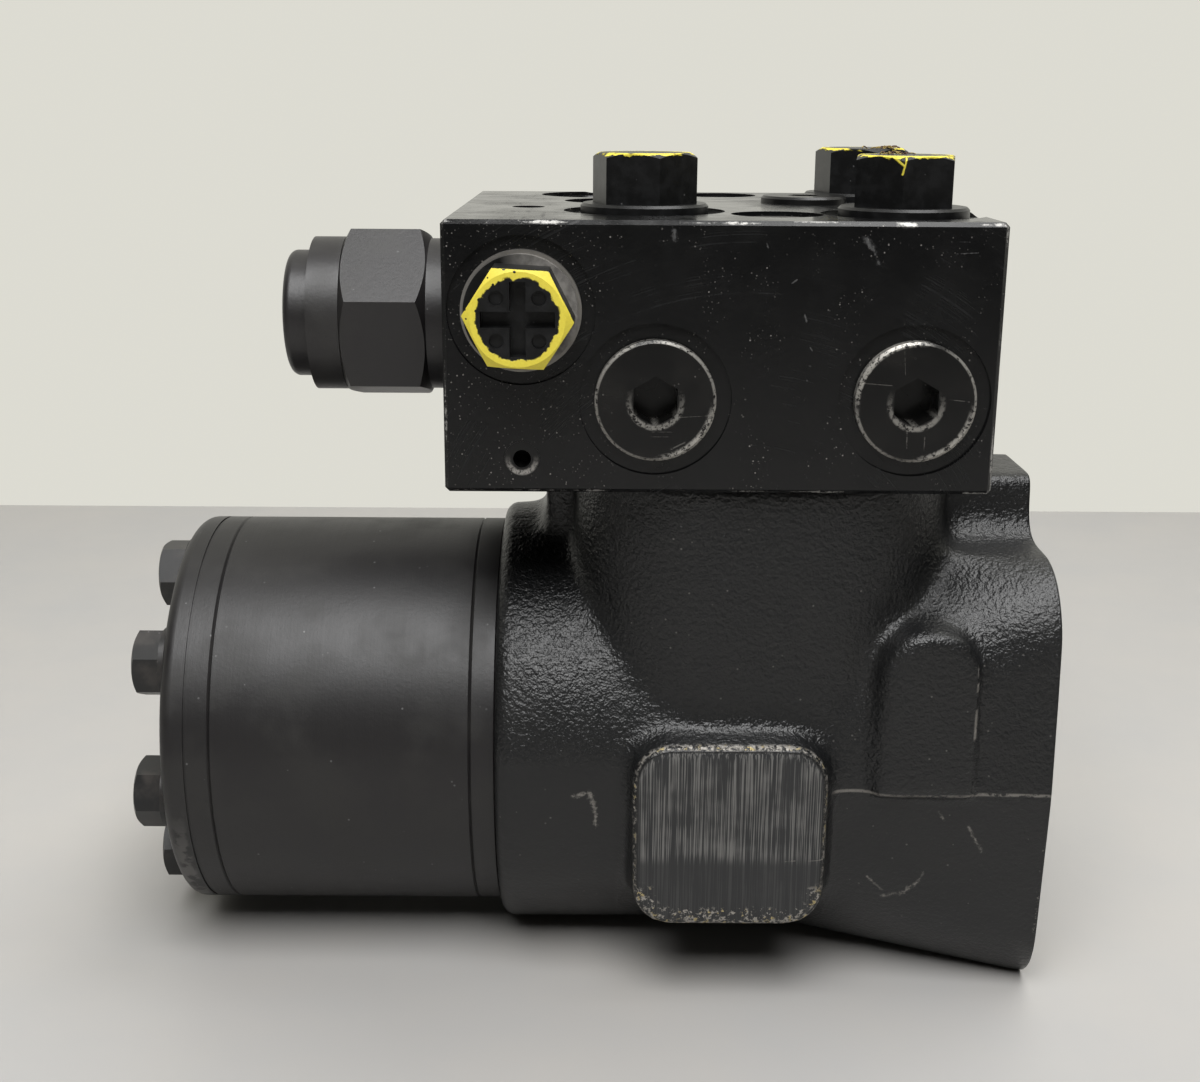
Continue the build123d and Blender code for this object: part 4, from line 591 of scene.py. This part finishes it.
@dataclass(frozen=True)
class PortPlugPaint(Finish):
    """Glossy black port plugs, with a thin bright line painted round their rims as a highlight, and scratches
    round their sockets.
    """

    name: str = "port_plug_paint"
    places: tuple[Point, Point] = ((-78.9, 78.7), (-31.5, 78.7))
    radius: float = 11.1
    socket: float = 4.5
    marks: tuple[Mark, ...] = (
        ((-41.3, 82.3), (-36.1, 81.9), 0.3),
        ((-25.4, 79.4), (-21.9, 79.0), 0.3),
        ((-34.2, 88.6), (-33.8, 83.9), 0.15),
        ((-32.9, 73.8), (-32.8, 70.4), 0.4),
        ((-29.6, 72.4), (-29.6, 70.0), 0.3),
        ((-74.7, 75.8), (-68.4, 76.2), 0.2),
        ((-79.5, 73.1), (-75.8, 73.1), 0.15),
        ((-79.5, 72.2), (-76.5, 72.2), 0.15),
        ((-75.9, 69.9), (-73.4, 71.2), 0.5),
    )

    def wire(self, b: Bench) -> None:
        """Wires the shader: see Finish."""
        x, y, z = b.parts()
        (left, height), (right, _) = self.places
        middle = (left + right) / 2
        dx = x - left - x.rise(middle - 0.1, middle + 0.1) * (right - left)
        dz = z - height
        reach = distance(dx, dz)
        fine = b.noise(0.6, 4.0, 0.7)
        patch = b.noise(9.0, 2.0, 0.6)
        # a thin bright line round each rim: a painted highlight on the rim's edge
        rim = abs(reach - (self.radius - 0.25)).fall(0.12, 0.4) * patch.rise(0.3, 0.5)
        heavy = ((dx - dz) * 0.7 / self.radius).rise(0.62, 0.95)
        heavy = heavy * abs(reach - (self.radius - 0.6)).fall(0.3, 0.9)
        upper = ((dz - dx) * 0.7 / self.radius).rise(0.5, 0.9) * x.rise(-60.0, -50.0)
        upper = upper * abs(reach - (self.radius - 0.4)).fall(0.2, 0.6)
        socket = abs(reach - self.socket - 0.35).fall(0.2, 0.7) * (dz / self.socket).fall(-1.1, 0.6)
        # bright marks: wear at the lower right, the upper left and the socket, plus the painted rim highlight
        bright_with_painted_glint = (heavy + upper + socket * 0.55) * fine.rise(0.4, 0.54) + rim * fine.rise(0.38, 0.5) * 0.7
        bright_with_painted_glint = (bright_with_painted_glint + b.strokes(self.marks, fine) * fine.rise(0.4, 0.56) * 0.35).held()
        specks = b.specks(1.9) * patch.rise(0.45, 0.6)
        colour = b.mixed(patch.rise(0.4, 0.7), grey(0.003), grey(0.008, WARM))
        colour = b.mixed(specks * 0.5, colour, grey(0.2, WARM))
        colour = b.mixed(bright_with_painted_glint, colour, grey(0.42, (1.0, 0.96, 0.88)))
        b.set(Base_Color=colour, Roughness=0.2 + patch * 0.12 + bright_with_painted_glint * 0.15, Metallic=(bright_with_painted_glint * 0.6).held())
        b.set(Normal=b.relief(fine * 0.3 + patch, 0.02), Specular_IOR_Level=0.35)


@dataclass(frozen=True)
class OrificePaint(Finish):
    """A small black orifice plug, with a highlight painted as a bright arc along its lower rim."""

    name: str = "orifice_paint"
    place: Point = (-103.3, 67.6)
    radius: float = 3.25

    def wire(self, b: Bench) -> None:
        """Wires the shader: see Finish."""
        x, _, z = b.parts()
        dx, dz = x - self.place[0], z - self.place[1]
        reach = distance(dx, dz)
        fine = b.noise(0.5, 3.0, 0.7)
        # a bright arc painted along the lower rim: a painted highlight, not wear
        bright_with_painted_glint = abs(reach - self.radius * 0.8).fall(0.25, 0.65) * (dz / self.radius).fall(-0.9, 0.3)
        colour = b.mixed(bright_with_painted_glint * fine.rise(0.36, 0.54), grey(0.004), grey(0.3, WARM))
        b.set(Base_Color=colour, Roughness=0.25 + fine * 0.1, Specular_IOR_Level=0.4)


@dataclass(frozen=True)
class MarkedPlugPaint(Finish):
    """Black plugs whose hexagons are ringed with yellow marking paint on their ends.

    The ring starts at a radius, and a little paint has run over the edge.
    """

    places: tuple[Point, ...]
    upright: bool
    end: float              # where the hexagon's end face is, along z if upright and along -y if not
    inner: float            # where the ring of paint starts
    thinned: float          # share of the ring that is left
    run: float              # how far the paint has run over the edge
    collar_end: float | None = None     # below this the collar is bare steel, if given
    collar_black_until: float = -106.0          # left of this the collar stays black
    drips: tuple[Mark, ...] = ()

    def wire(self, b: Bench) -> None:
        """Wires the shader: see Finish."""
        x, y, z = b.parts()
        height, other = (z, y) if self.upright else (0.0 - y, z)
        reach = x * 0.0 + 1000.0
        for place in self.places:
            reach = reach.at_most(distance(x - place[0], other - place[1]))
        fine = b.noise(0.55, 3.0, 0.7)
        ragged = b.noise(2.4, 3.0, 0.6)
        depth = self.end - height
        on_end = (depth + ragged * 0.5).fall(0.42, 0.5)
        ring = (reach + (ragged - 0.5) * 2.6).rise(self.inner - 0.1, self.inner + 0.15)
        corner = (other - self.places[0][1]) - (x - self.places[0][0])
        pocks = (b.cells(1.3) + ragged * 0.5).fall(0.42, 0.48) * corner.rise(4.0, 7.0)
        bevel = (depth + (ragged - 0.5) * 1.8).fall(self.run, self.run + 0.15)
        bevel = bevel * reach.rise(self.inner, self.inner + 0.5)
        kept = b.noise(6.0, 2.0, 0.6).fall(self.thinned, self.thinned + 0.06)
        paint = (ring * on_end).at_least(bevel) * (1.0 - pocks) * kept
        drips = b.strokes(self.drips, ragged * 0.5) * y.fall(*FRONT)
        paint = paint.at_least(drips * depth.rise(0.1, 0.3))
        steel = b.mixed(ragged.rise(0.35, 0.7), grey(0.24, WARM), grey(0.11, WARM))
        black = b.mixed(ragged.rise(0.4, 0.7), grey(0.004, COOL), grey(0.009, COOL))
        metal = x * 0.0
        if self.collar_end is not None:
            # the collar turns bare steel to the right of a ragged line, and stays black to its left
            metal = height.fall(self.collar_end, self.collar_end + 0.2)
            metal = metal * (x + ragged * 3.0).rise(self.collar_black_until, self.collar_black_until + 6.0)
            black = b.mixed(metal, black, steel)
        specks = b.specks(2.3) * fine.rise(0.46, 0.56)
        black = b.mixed(specks * 0.45, black, grey(0.2))
        tone = b.mixed(fine, YELLOW, (0.62, 0.5, 0.045, 1.0))
        b.set(Base_Color=b.mixed(paint, black, tone), Metallic=(metal * 0.3).held())
        b.set(Roughness=0.28 + ragged * 0.12 + paint * 0.2 + metal * 0.1)
        b.set(Normal=b.relief(fine * 0.3 + paint * 1.2, 0.05), Specular_IOR_Level=0.35)


@dataclass(frozen=True)
class Metal(Finish):
    """Bare metal with grinding or drawing marks along one axis."""

    level: float = 0.4
    roughness: float = 0.3
    grain: Triple = (1.0, 1.0, 1.0)
    tint: Triple = (1.0, 0.985, 0.96)

    def wire(self, b: Bench) -> None:
        """Wires the shader: see Finish."""
        lines = b.noise(0.4, 3.0, 0.6, b.stretched(*self.grain))
        stain = b.noise(6.0, 3.0, 0.6).rise(0.4, 0.8)
        clean, stained = grey(self.level, self.tint), grey(self.level * 0.55, self.tint)
        colour = b.mixed(stain * 0.6 + lines * 0.2, clean, stained)
        b.set(Base_Color=colour, Metallic=1.0, Roughness=self.roughness + stain * 0.15 + lines * 0.08)
        b.set(Normal=b.relief(lines, 0.008))


@dataclass(frozen=True)
class SealRubber(Finish):
    """Matt black rubber with a faint bloom."""

    name: str = "seal_rubber"

    def wire(self, b: Bench) -> None:
        """Wires the shader: see Finish."""
        bloom = b.noise(3.0, 3.0, 0.6).rise(0.4, 0.8)
        colour = b.mixed(bloom, grey(0.012), grey(0.024, (1.0, 0.98, 0.95)))
        b.set(Base_Color=colour, Roughness=0.58 + bloom * 0.2, Normal=b.relief(b.noise(0.4, 2.0), 0.01))


@dataclass(frozen=True)
class FibreColour(Finish):
    """Brown fibre, yellow where paint sticks to it."""

    name: str = "crumbs"

    def wire(self, b: Bench) -> None:
        """Wires the shader: see Finish."""
        tone = b.noise(1.2, 2.0).rise(0.46, 0.58)
        b.set(Base_Color=b.mixed(tone, (0.09, 0.045, 0.03, 1.0), (0.3, 0.22, 0.06, 1.0)), Roughness=0.8)


@dataclass(frozen=True)
class BenchTop(Finish):
    """The stage's pale floor, faintly clouded."""

    name: str = "floor"
    level: float = 0.42

    def wire(self, b: Bench) -> None:
        """Wires the shader: see Finish."""
        cloud = b.noise(60.0, 4.0, 0.6)
        b.set(Base_Color=b.mixed(cloud, grey(self.level, WARM), grey(self.level * 0.9)))
        b.set(Roughness=0.42 + cloud * 0.1)


@dataclass(frozen=True)
class WallPaint(Finish):
    """A wall that shows its plain colour to the camera and in reflections."""

    name: str = "wall"
    colour: Colour = (0.72, 0.71, 0.645, 1.0)

    def wire(self, b: Bench) -> None:
        """Wires the shader: see Finish."""
        b.set(Base_Color=self.colour, Roughness=0.8)
        camera = b.node("ShaderNodeLightPath", output="Is Camera Ray")
        seen = camera.at_least(camera.beside("Is Glossy Ray")).at_least(camera.beside("Is Transmission Ray"))
        glow = b.node("ShaderNodeEmission", None, {"Color": self.colour, "Strength": 1.0})
        shown = b.node("ShaderNodeMixShader", None, {0: seen, 1: Wire(b, b.shader.outputs[0]), 2: glow})
        b.plug(b.tree.nodes["Material Output"].inputs["Surface"], shown)


# ---------------------------------------------------------------- mesh helpers
def only(obj: bpy.types.Object) -> None:
    """Makes one object the selected and active one, and deselects all others."""
    bpy.ops.object.select_all(action="DESELECT")
    obj.hide_set(False)
    obj.select_set(True)
    bpy.context.view_layer.objects.active = obj


def apply_modifier(obj: bpy.types.Object, kind: str, **settings: Any) -> None:
    """Adds a modifier and applies it.

    Args:
        obj: the mesh object.
        kind: the modifier's type.
        settings: its attributes.
    """
    only(obj)
    bpy.ops.object.modifier_add(type=kind)
    modifier = obj.modifiers[-1]
    for key, value in settings.items():
        setattr(modifier, key, value)
    bpy.ops.object.modifier_apply(modifier=modifier.name)


def wear(obj: bpy.types.Object, finish: bpy.types.Material) -> None:
    """Gives an object one finish in place of what it had."""
    obj.data.materials.clear()
    obj.data.materials.append(finish)


def combine(body: bpy.types.Object, tool: bpy.types.Object, operation: str = "DIFFERENCE") -> None:
    """Cuts a tool from a body, or adds it to the body, and removes the tool."""
    apply_modifier(body, "BOOLEAN", operation=operation, object=tool, solver="EXACT")
    bpy.data.objects.remove(tool)


def copy_of(node: str, name: str) -> bpy.types.Object:
    """A copy of a CAD node with a mesh of its own, its doubles merged.

    Args:
        node: the CAD node's name.
        name: the new piece's name.

    Returns:
        The copy.
    """
    source = frame["nodes"][node]
    made = bpy.data.objects.new(name, source.data.copy())
    bpy.context.scene.collection.objects.link(made)
    only(made)
    bpy.ops.object.mode_set(mode="EDIT")
    bpy.ops.mesh.select_all(action="SELECT")
    bpy.ops.mesh.remove_doubles(threshold=0.002 * MM)
    bpy.ops.object.mode_set(mode="OBJECT")
    return made


def cylinder(name: str, radius: float, start: Vector, end: Vector, sides: int = 96) -> bpy.types.Object:
    """A cylinder between two points, in metres, with its place in its mesh.

    Args:
        name: the object's name.
        radius: its radius.
        start: the middle of one end.
        end: the middle of the other end.
        sides: how many sides it has.

    Returns:
        The cylinder.
    """
    axis = end - start
    turn = axis.to_track_quat("Z", "Y").to_euler()
    bpy.ops.object.select_all(action="DESELECT")
    bpy.ops.mesh.primitive_cylinder_add(
        vertices=sides, radius=radius, depth=axis.length, location=(start + end) / 2, rotation=turn
    )
    return settled(name)


def box(name: str, centre: Vector, size: Vector) -> bpy.types.Object:
    """A box with its place in its mesh.

    Args:
        name: the object's name.
        centre: its middle, in metres.
        size: the lengths of its sides.

    Returns:
        The box.
    """
    bpy.ops.object.select_all(action="DESELECT")
    bpy.ops.mesh.primitive_cube_add(size=1, location=centre, scale=size)
    return settled(name)


def settled(name: str) -> bpy.types.Object:
    """The active object, named, with its place moved into its mesh."""
    made = bpy.context.active_object
    made.name = name
    only(made)
    bpy.ops.object.transform_apply(location=True, rotation=True, scale=True)
    return made


def joined(pieces: list[bpy.types.Object]) -> bpy.types.Object:
    """Joins objects into the first of them.

    Args:
        pieces: the objects.

    Returns:
        The first object, which now holds all the meshes.
    """
    bpy.ops.object.select_all(action="DESELECT")
    for piece in pieces:
        piece.select_set(True)
    bpy.context.view_layer.objects.active = pieces[0]
    bpy.ops.object.join()
    return pieces[0]


def ramp(value: float, low: float, high: float) -> float:
    """How far a value is from low, at 0, to high, at 1."""
    return min(1.0, max(0.0, (value - low) / (high - low)))


# ---------------------------------------------------------------- housing
@dataclass
class CastHousing:
    """The housing as a casting: the CAD body, blended where the neck, the spine and the ear rise."""

    grain: float = 0.95 * MM
    fill_radius: float = 21.9 * MM      # fills the bore with its ring grooves
    screw_zone: float = 34.0 * MM       # the cover screws' holes lie within this radius
    screw_depth: float = 17.0 * MM
    gallery_middle: Triple = (-60.0, 0.0, 40.4)     # block that holds the drillings in the neck
    gallery_size: Triple = (60.0, 56.0, 41.4)
    # start, end and radius of each step of the bore
    bore_steps: tuple[Triple, ...] = (
        (-109.6, -21.0, 19.0),
        (-21.1, -15.5, 17.0),
        (-15.6, -10.0, 12.2),
        (-10.1, -4.5, 17.5),
        (-4.6, 0.5, 20.7),
    )
    bolt_circle: float = 41.25 * MM
    bolt_hole: float = 4.25 * MM
    bolt_depth: float = 18.0 * MM
    skin: float = 0.1 * MM          # left between the fillings and the mounting face
    allowance: float = 4.0 * MM     # metal left on the mounting face until it is machined
    passes: int = 60                # of smoothing
    light_smoothing: float = 0.1    # share of it that the whole casting gets
    edge_angle: float = 38.0
    pad_middle: Point = (-63.05, -7.75)
    pad_half: Point = (19.5, 19.75)

    def build(self, finish: bpy.types.Material) -> bpy.types.Object:
        """Models and dresses the housing.

        Args:
            finish: its material.

        Returns:
            The finished piece.
        """
        body = copy_of("housing", "cast_housing")
        self._fill(body)
        for vertex in body.data.vertices:
            if vertex.co.x > -2 * self.skin:
                vertex.co.x += self.allowance
        apply_modifier(body, "REMESH", mode="VOXEL", voxel_size=self.grain)
        self._weigh(body)
        apply_modifier(body, "SMOOTH", factor=0.5, iterations=self.passes, vertex_group="blend")
        self._face(body)
        self._bore(body)
        only(body)
        bpy.ops.object.shade_smooth_by_angle(angle=math.radians(self.edge_angle))
        wear(body, finish)
        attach(body, "housing")
        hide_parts("housing")
        return body

    def _fill(self, body: bpy.types.Object) -> None:
        """Closes the bores and drillings; the stepped bore and the bolt holes are cut again after the blends.
        """
        left, depth = Vector((extent("housing")[0].x * MM, 0, 0)), Vector((self.screw_depth, 0, 0))
        tools = [
            cylinder("fill", self.fill_radius, left, Vector((-self.skin, 0, 0))),
            cylinder("fill", self.screw_zone, left, left + depth),
        ]
        for y, z in self._bolts():
            start, end = Vector((-self.bolt_depth - MM, y, z)), Vector((-self.skin, y, z))
            tools.append(cylinder("fill", self.bolt_hole + 0.3 * MM, start, end))
        tools.append(box("fill", Vector(self.gallery_middle) * MM, Vector(self.gallery_size) * MM))
        for tool in tools:
            combine(body, tool, "UNION")

    def _bolts(self) -> Iterable[Point]:
        """The y and z of each of the column's bolt holes."""
        for turn in range(4):
            angle = math.radians(45 + 90 * turn)
            yield self.bolt_circle * math.cos(angle), self.bolt_circle * math.sin(angle)

    def _weigh(self, body: bpy.types.Object) -> None:
        """Marks where the casting's blends are, away from the machined faces."""
        group = body.vertex_groups.new(name="blend")
        for vertex in body.data.vertices:
            group.add([vertex.index], self._blend(*(vertex.co / MM)), "REPLACE")

    def _blend(self, x: float, y: float, z: float) -> float:
        """How far a place in millimetres takes part in the blends, from 0 to 1."""
        side = abs(y)
        # clear of the flange's face and of the port face
        away = ramp(x, -108.0, -105.0) * ramp(-z, -59.5, -56.5)
        # the sharper spine over the flange, and the arch with its flat face
        spine = ramp(-x, 90.0, 93.0) * ramp(z, 48.0, 52.0)
        arch = ramp(x, -33.0, -26.0) * ramp(-x, 13.5, 15.0) * ramp(side, 44.0, 46.0) * ramp(-z, -34.5, -33.0)
        high = ramp(z, 14.0, 24.0) * (1 - 0.75 * spine) * (1 - 0.85 * arch)
        # the valley between pad and arch, and the foot of the pad
        valley = ramp(x, -42.0, -40.0) * ramp(-x, 28.0, 32.0) * ramp(side, 40.0, 42.0) * ramp(z, -1.0, 4.0)
        across = abs(x - self.pad_middle[0]) - self.pad_half[0]
        along = abs(z - self.pad_middle[1]) - self.pad_half[1]
        skirt = ramp(-max(across, along), -7.0, -3.5) * ramp(-side, -50.4, -49.8) * ramp(side, 36.0, 40.0)
        return max(self.light_smoothing, away * max(high, skirt, valley))

    def _face(self, body: bpy.types.Object) -> None:
        """Machines the mounting face back to its place."""
        reach = 10 * self.allowance
        combine(body, box("cut", Vector((reach / 2, 0, 0)), Vector((reach, 5 * reach, 5 * reach))))

    def _bore(self, body: bpy.types.Object) -> None:
        """Cuts the stepped bore and the column's bolt holes."""
        for start, end, radius in self.bore_steps:
            combine(body, cylinder("cut", radius * MM, Vector((start * MM, 0, 0)), Vector((end * MM, 0, 0))))
        holes = [
            cylinder("cut", self.bolt_hole, Vector((-self.bolt_depth, y, z)), Vector((MM, y, z)), 48)
            for y, z in self._bolts()
        ]
        combine(body, joined(holes))


# ---------------------------------------------------------------- valve springs
@dataclass
class ValveSprings:
    """The valves' coil springs, copied from their CAD nodes and left where the CAD puts them."""

    edge_angle: float = 50.0
    # spring, body of its valve and the way from the valve to the wall behind the spring
    valves: tuple[tuple[str, str, Triple], ...] = (
        ("relief_spring", "relief_valve", (0.0, -1.0, 0.0)),
        ("left_shock_spring", "left_shock_valve", (0.0, 0.0, 1.0)),
        ("right_shock_spring", "right_shock_valve", (0.0, 0.0, 1.0)),
        ("suction_spring", "suction_valve", (0.0, 0.0, 1.0)),
        ("priority_spring", "priority_valve", (-1.0, 0.0, 0.0)),
    )

    def build(self, finish: bpy.types.Material) -> list[str]:
        """Models and dresses the springs.

        Args:
            finish: their material.

        Returns:
            The CAD nodes that they stand for.
        """
        for node, body, direction in self.valves:
            spring = copy_of(node, f"{node}_coil")
            only(spring)
            bpy.ops.object.shade_smooth_by_angle(angle=math.radians(self.edge_angle))
            wear(spring, finish)
            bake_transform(spring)
            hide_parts(node)
            LOG.info("built %s between %s and housing", spring.name, body)
        return [node for node, _, _ in self.valves]


# ---------------------------------------------------------------- crumbs on the top plugs
@dataclass
class Crumbs:
    """Brown fibres, yellow in places with marking paint, stuck to the ends of the two right top plugs.

    Its sizes are in millimetres.
    """

    # x, y, spread and number of fibres of each patch
    patches: tuple[tuple[float, float, float, int], ...] = ((-28.5, 19.5, 3.2, 15), (-34.0, -25.5, 2.6, 9))
    depth: float = 1.6      # the patches' spread along y
    thickness: float = 0.13
    lengths: Point = (1.6, 3.4)
    crowns: Point = (0.5, 1.8)
    seed: int = 5

    def build(self, finish: bpy.types.Material) -> bpy.types.Object:
        """Models and dresses the crumbs.

        Args:
            finish: their material.

        Returns:
            One piece that holds them all.
        """
        chance = random.Random(self.seed)
        end = extent("top_plugs")[1].z
        pieces = []
        for x, y, spread, count in self.patches:
            for _ in range(count):
                across, along = chance.uniform(-spread, spread), chance.uniform(-self.depth, self.depth)
                pieces.append(self._fibre(chance, Vector((x + across, y + along, end))))
        made = joined(pieces)
        made.name = "paint_crumbs"
        wear(made, finish)
        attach(made, "housing")
        return made

    def _fibre(self, chance: random.Random, start: Vector) -> bpy.types.Object:
        """A short curled fibre.

        Args:
            chance: the source of its length and direction.
            start: where its root is, in millimetres.

        Returns:
            The fibre as a mesh.
        """
        bpy.ops.object.select_all(action="DESELECT")
        bpy.ops.curve.primitive_bezier_curve_add()
        fibre = bpy.context.active_object
        heading = chance.uniform(0.0, 2 * math.pi)
        length = chance.uniform(*self.lengths)
        run = Vector((math.cos(heading), 0.4 * math.sin(heading), 0.0)) * length
        crown = chance.uniform(*self.crowns)
        middle = start + run * 0.5 + Vector((0, 0, crown))
        first, last = fibre.data.splines[0].bezier_points
        first.co, last.co = start * MM, (start + run + Vector((0, 0, 0.1))) * MM
        first.handle_left = first.handle_right = (start * 0.4 + middle * 0.6) * MM
        last.handle_left = last.handle_right = (middle + run * 0.2) * MM
        fibre.data.bevel_depth = self.thickness * MM
        fibre.data.bevel_resolution = 1
        fibre.data.resolution_u = 6
        only(fibre)
        bpy.ops.object.convert(target="MESH")
        return bpy.context.active_object


# ---------------------------------------------------------------- dressed CAD nodes
class Slot(Enum):
    """The record's material slots."""

    BLOCK = "block_paint"
    DISC = "dark_disc"
    CAP = "cap_black"
    PLUG = "plug_black"
    SCREW = "dark_screws"
    WASHER = "washer_steel"
    BARE = "bare_steel"
    HARD = "hard_steel"
    SPRING = "spring_steel"
    RUBBER = "seal_rubber"


@dataclass
class Wardrobe:
    """Gives each CAD node that stays its finish."""

    top_plugs: tuple[Point, ...] = ((-80.6, -20.5), (-31.4, -26.6), (-31.4, 25.2))
    relief_place: Point = (-103.3, 94.8)
    relief_collar_end: float = 51.0
    drips: tuple[Mark, ...] = (
        ((-36.1, 122.4), (-33.6, 120.1), 0.3),
        ((-33.0, 122.0), (-33.8, 118.6), 0.3),
    )

    def dress(self, skip: Iterable[str]) -> None:
        """Dresses the nodes.

        Args:
            skip: nodes that another piece replaces.
        """
        finishes = {
            Slot.BLOCK: BlockPaint().material(),
            Slot.DISC: TurnedPaint().material(),
            Slot.CAP: TurnedPaint("cap_black", 0.012, 0.36, 0.7, worn_from=UNWORN).material(),
            Slot.PLUG: BlackOxide("plug_black", 0.005, 0.25, 0.1).material(),
            Slot.SCREW: BlackOxide("dark_screws", 0.014, 0.34, 0.5).material(),
            Slot.WASHER: Metal("washer_steel", 0.3, 0.42, tint=WARM).material(),
            Slot.BARE: Metal("bare_steel", 0.45, 0.3).material(),
            Slot.HARD: Metal("hard_steel", 0.5, 0.22, (20.0, 1.0, 1.0)).material(),
            Slot.SPRING: Metal("spring_steel", 0.3, 0.3).material(),
            Slot.RUBBER: SealRubber().material(),
        }
        relief = MarkedPlugPaint(
            "relief_plug_paint",
            places=(self.relief_place,),
            upright=False,
            end=-extent("relief_plug")[0].y,
            inner=7.2,
            thinned=0.75,
            run=0.8,
            collar_end=self.relief_collar_end,
        )
        tops = MarkedPlugPaint(
            "top_plug_paint",
            places=self.top_plugs,
            upright=True,
            end=extent("top_plugs")[1].z,
            inner=8.0,
            thinned=0.52,
            run=0.35,
            drips=self.drips,
        )
        own = {
            "front_port_plugs": PortPlugPaint().material(),
            "relief_plug": relief.material(),
            "top_plugs": tops.material(),
            "pilot_orifice": OrificePaint().material(),
        }
        slots = {part["node"]: part["material_slot"] for part in frame["record"]["subparts"]}
        for name, node in frame["nodes"].items():
            if name in skip:
                continue
            wear(node, own.get(name, finishes[Slot(slots[name])]))
            LOG.info("dressed %s in %s", name, node.data.materials[0].name)


# ---------------------------------------------------------------- stage
@dataclass
class Studio:
    """Bench top, wall, soft lights and camera."""

    wall: WallPaint = WallPaint()
    rest_height: float = extent("housing")[0].z * MM
    bench_depth: float = 352.0 * MM     # how far the bench reaches behind the unit
    floor_size: float = 5.0
    aim: Triple = (-0.07, 0.0, 0.02)    # what the lamps face
    ambient: float = 0.06       # of the wall's brightness, on the side of the camera
    gloss: float = 0.08         # the same in reflections, on top of the ambient
    lens: float = 47.07
    sensor: float = 36.0
    camera_place: Triple = (-89.23 * MM, -331.45 * MM, 130.35 * MM)
    # degrees
    pitch: float = 15.488
    yaw: float = 0.083
    roll: float = 0.37

    def build(self) -> None:
        """Sets the whole stage."""
        half = self.floor_size / 2
        self._sheet((0, self.bench_depth - half, self.rest_height), 0.0, BenchTop())
        self._sheet((0, self.bench_depth, self.rest_height + half), math.pi / 2, self.wall)
        self._lamp("key", (-0.12, -0.5, 0.85), 13.0, 0.7)
        self._lamp("rear", (0.2, 0.1, 1.0), 5.0, 0.5)
        self._world()
        self._camera()
        bpy.context.scene.view_settings.view_transform = "Standard"

    def _sheet(self, centre: Triple, turn: float, finish: Finish) -> None:
        """Adds a square sheet of the stage, which isn't part of the object.

        Args:
            centre: its middle, in metres.
            turn: how far it is tipped up about X, in radians.
            finish: what it is made of; the sheet takes its name.
        """
        bpy.ops.object.select_all(action="DESELECT")
        bpy.ops.mesh.primitive_plane_add(size=self.floor_size, location=centre, rotation=(turn, 0.0, 0.0))
        sheet = bpy.context.active_object
        sheet.name = finish.name
        wear(sheet, finish.material())

    def _lamp(self, name: str, place: Triple, power: float, size: float) -> None:
        """Adds one soft area lamp.

        Args:
            name: the lamp's name.
            place: where it is, in metres.
            power: watts.
            size: metres across.
        """
        data = bpy.data.lights.new(name, "AREA")
        data.energy, data.size = power, size
        lamp = bpy.data.objects.new(name, data)
        lamp.location = place
        lamp.rotation_euler = (Vector(self.aim) - Vector(place)).to_track_quat("-Z", "Y").to_euler()
        bpy.context.scene.collection.objects.link(lamp)

    def _world(self) -> None:
        """An even surrounding: bright to the camera, and dim as a light and in reflections."""
        b = Bench(bpy.data.worlds.new("surrounding"))
        camera = b.node("ShaderNodeLightPath", output="Is Camera Ray")
        reflected = camera.beside("Is Glossy Ray") * self.gloss + self.ambient
        direct = camera.at_least(camera.beside("Is Transmission Ray"))
        b.set(Color=self.wall.colour, Strength=direct.at_least(reflected))
        bpy.context.scene.world = b.owner

    def _camera(self) -> None:
        """The camera, level with the unit's top and looking slightly down."""
        p, w, r = (math.radians(v) for v in (self.pitch, self.yaw, self.roll))
        forward = Vector((math.sin(w), math.cos(w), 0))
        right = Vector((math.cos(w), -math.sin(w), 0))
        up = Vector((0, 0, 1))
        look = forward * math.cos(p) - up * math.sin(p)
        top = up * math.cos(p) + forward * math.sin(p)
        side = right * math.cos(r) + top * math.sin(r)
        crown = top * math.cos(r) - right * math.sin(r)
        data = bpy.data.cameras.new("camera")
        data.lens, data.sensor_width, data.sensor_fit = self.lens, self.sensor, "HORIZONTAL"
        camera = bpy.data.objects.new("camera", data)
        turn = Matrix((side, crown, -look)).transposed()
        camera.matrix_world = Matrix.Translation(self.camera_place) @ turn.to_4x4()
        bpy.context.scene.collection.objects.link(camera)
        bpy.context.scene.camera = camera


def main() -> None:
    """Builds every piece in order."""
    housing = CastHousing().build(CastPaint().material())
    LOG.info("built %s with %d faces", housing.name, len(housing.data.polygons))
    crumbs = Crumbs().build(FibreColour().material())
    LOG.info("built %s with %d faces", crumbs.name, len(crumbs.data.polygons))
    springs = ValveSprings().build(Metal("coil_steel", 0.3, 0.3).material())
    Wardrobe().dress(skip=["housing", *springs])
    Studio().build()


if __name__ == "__main__":
    logging.basicConfig(level=logging.INFO, format="%(message)s")
    main()
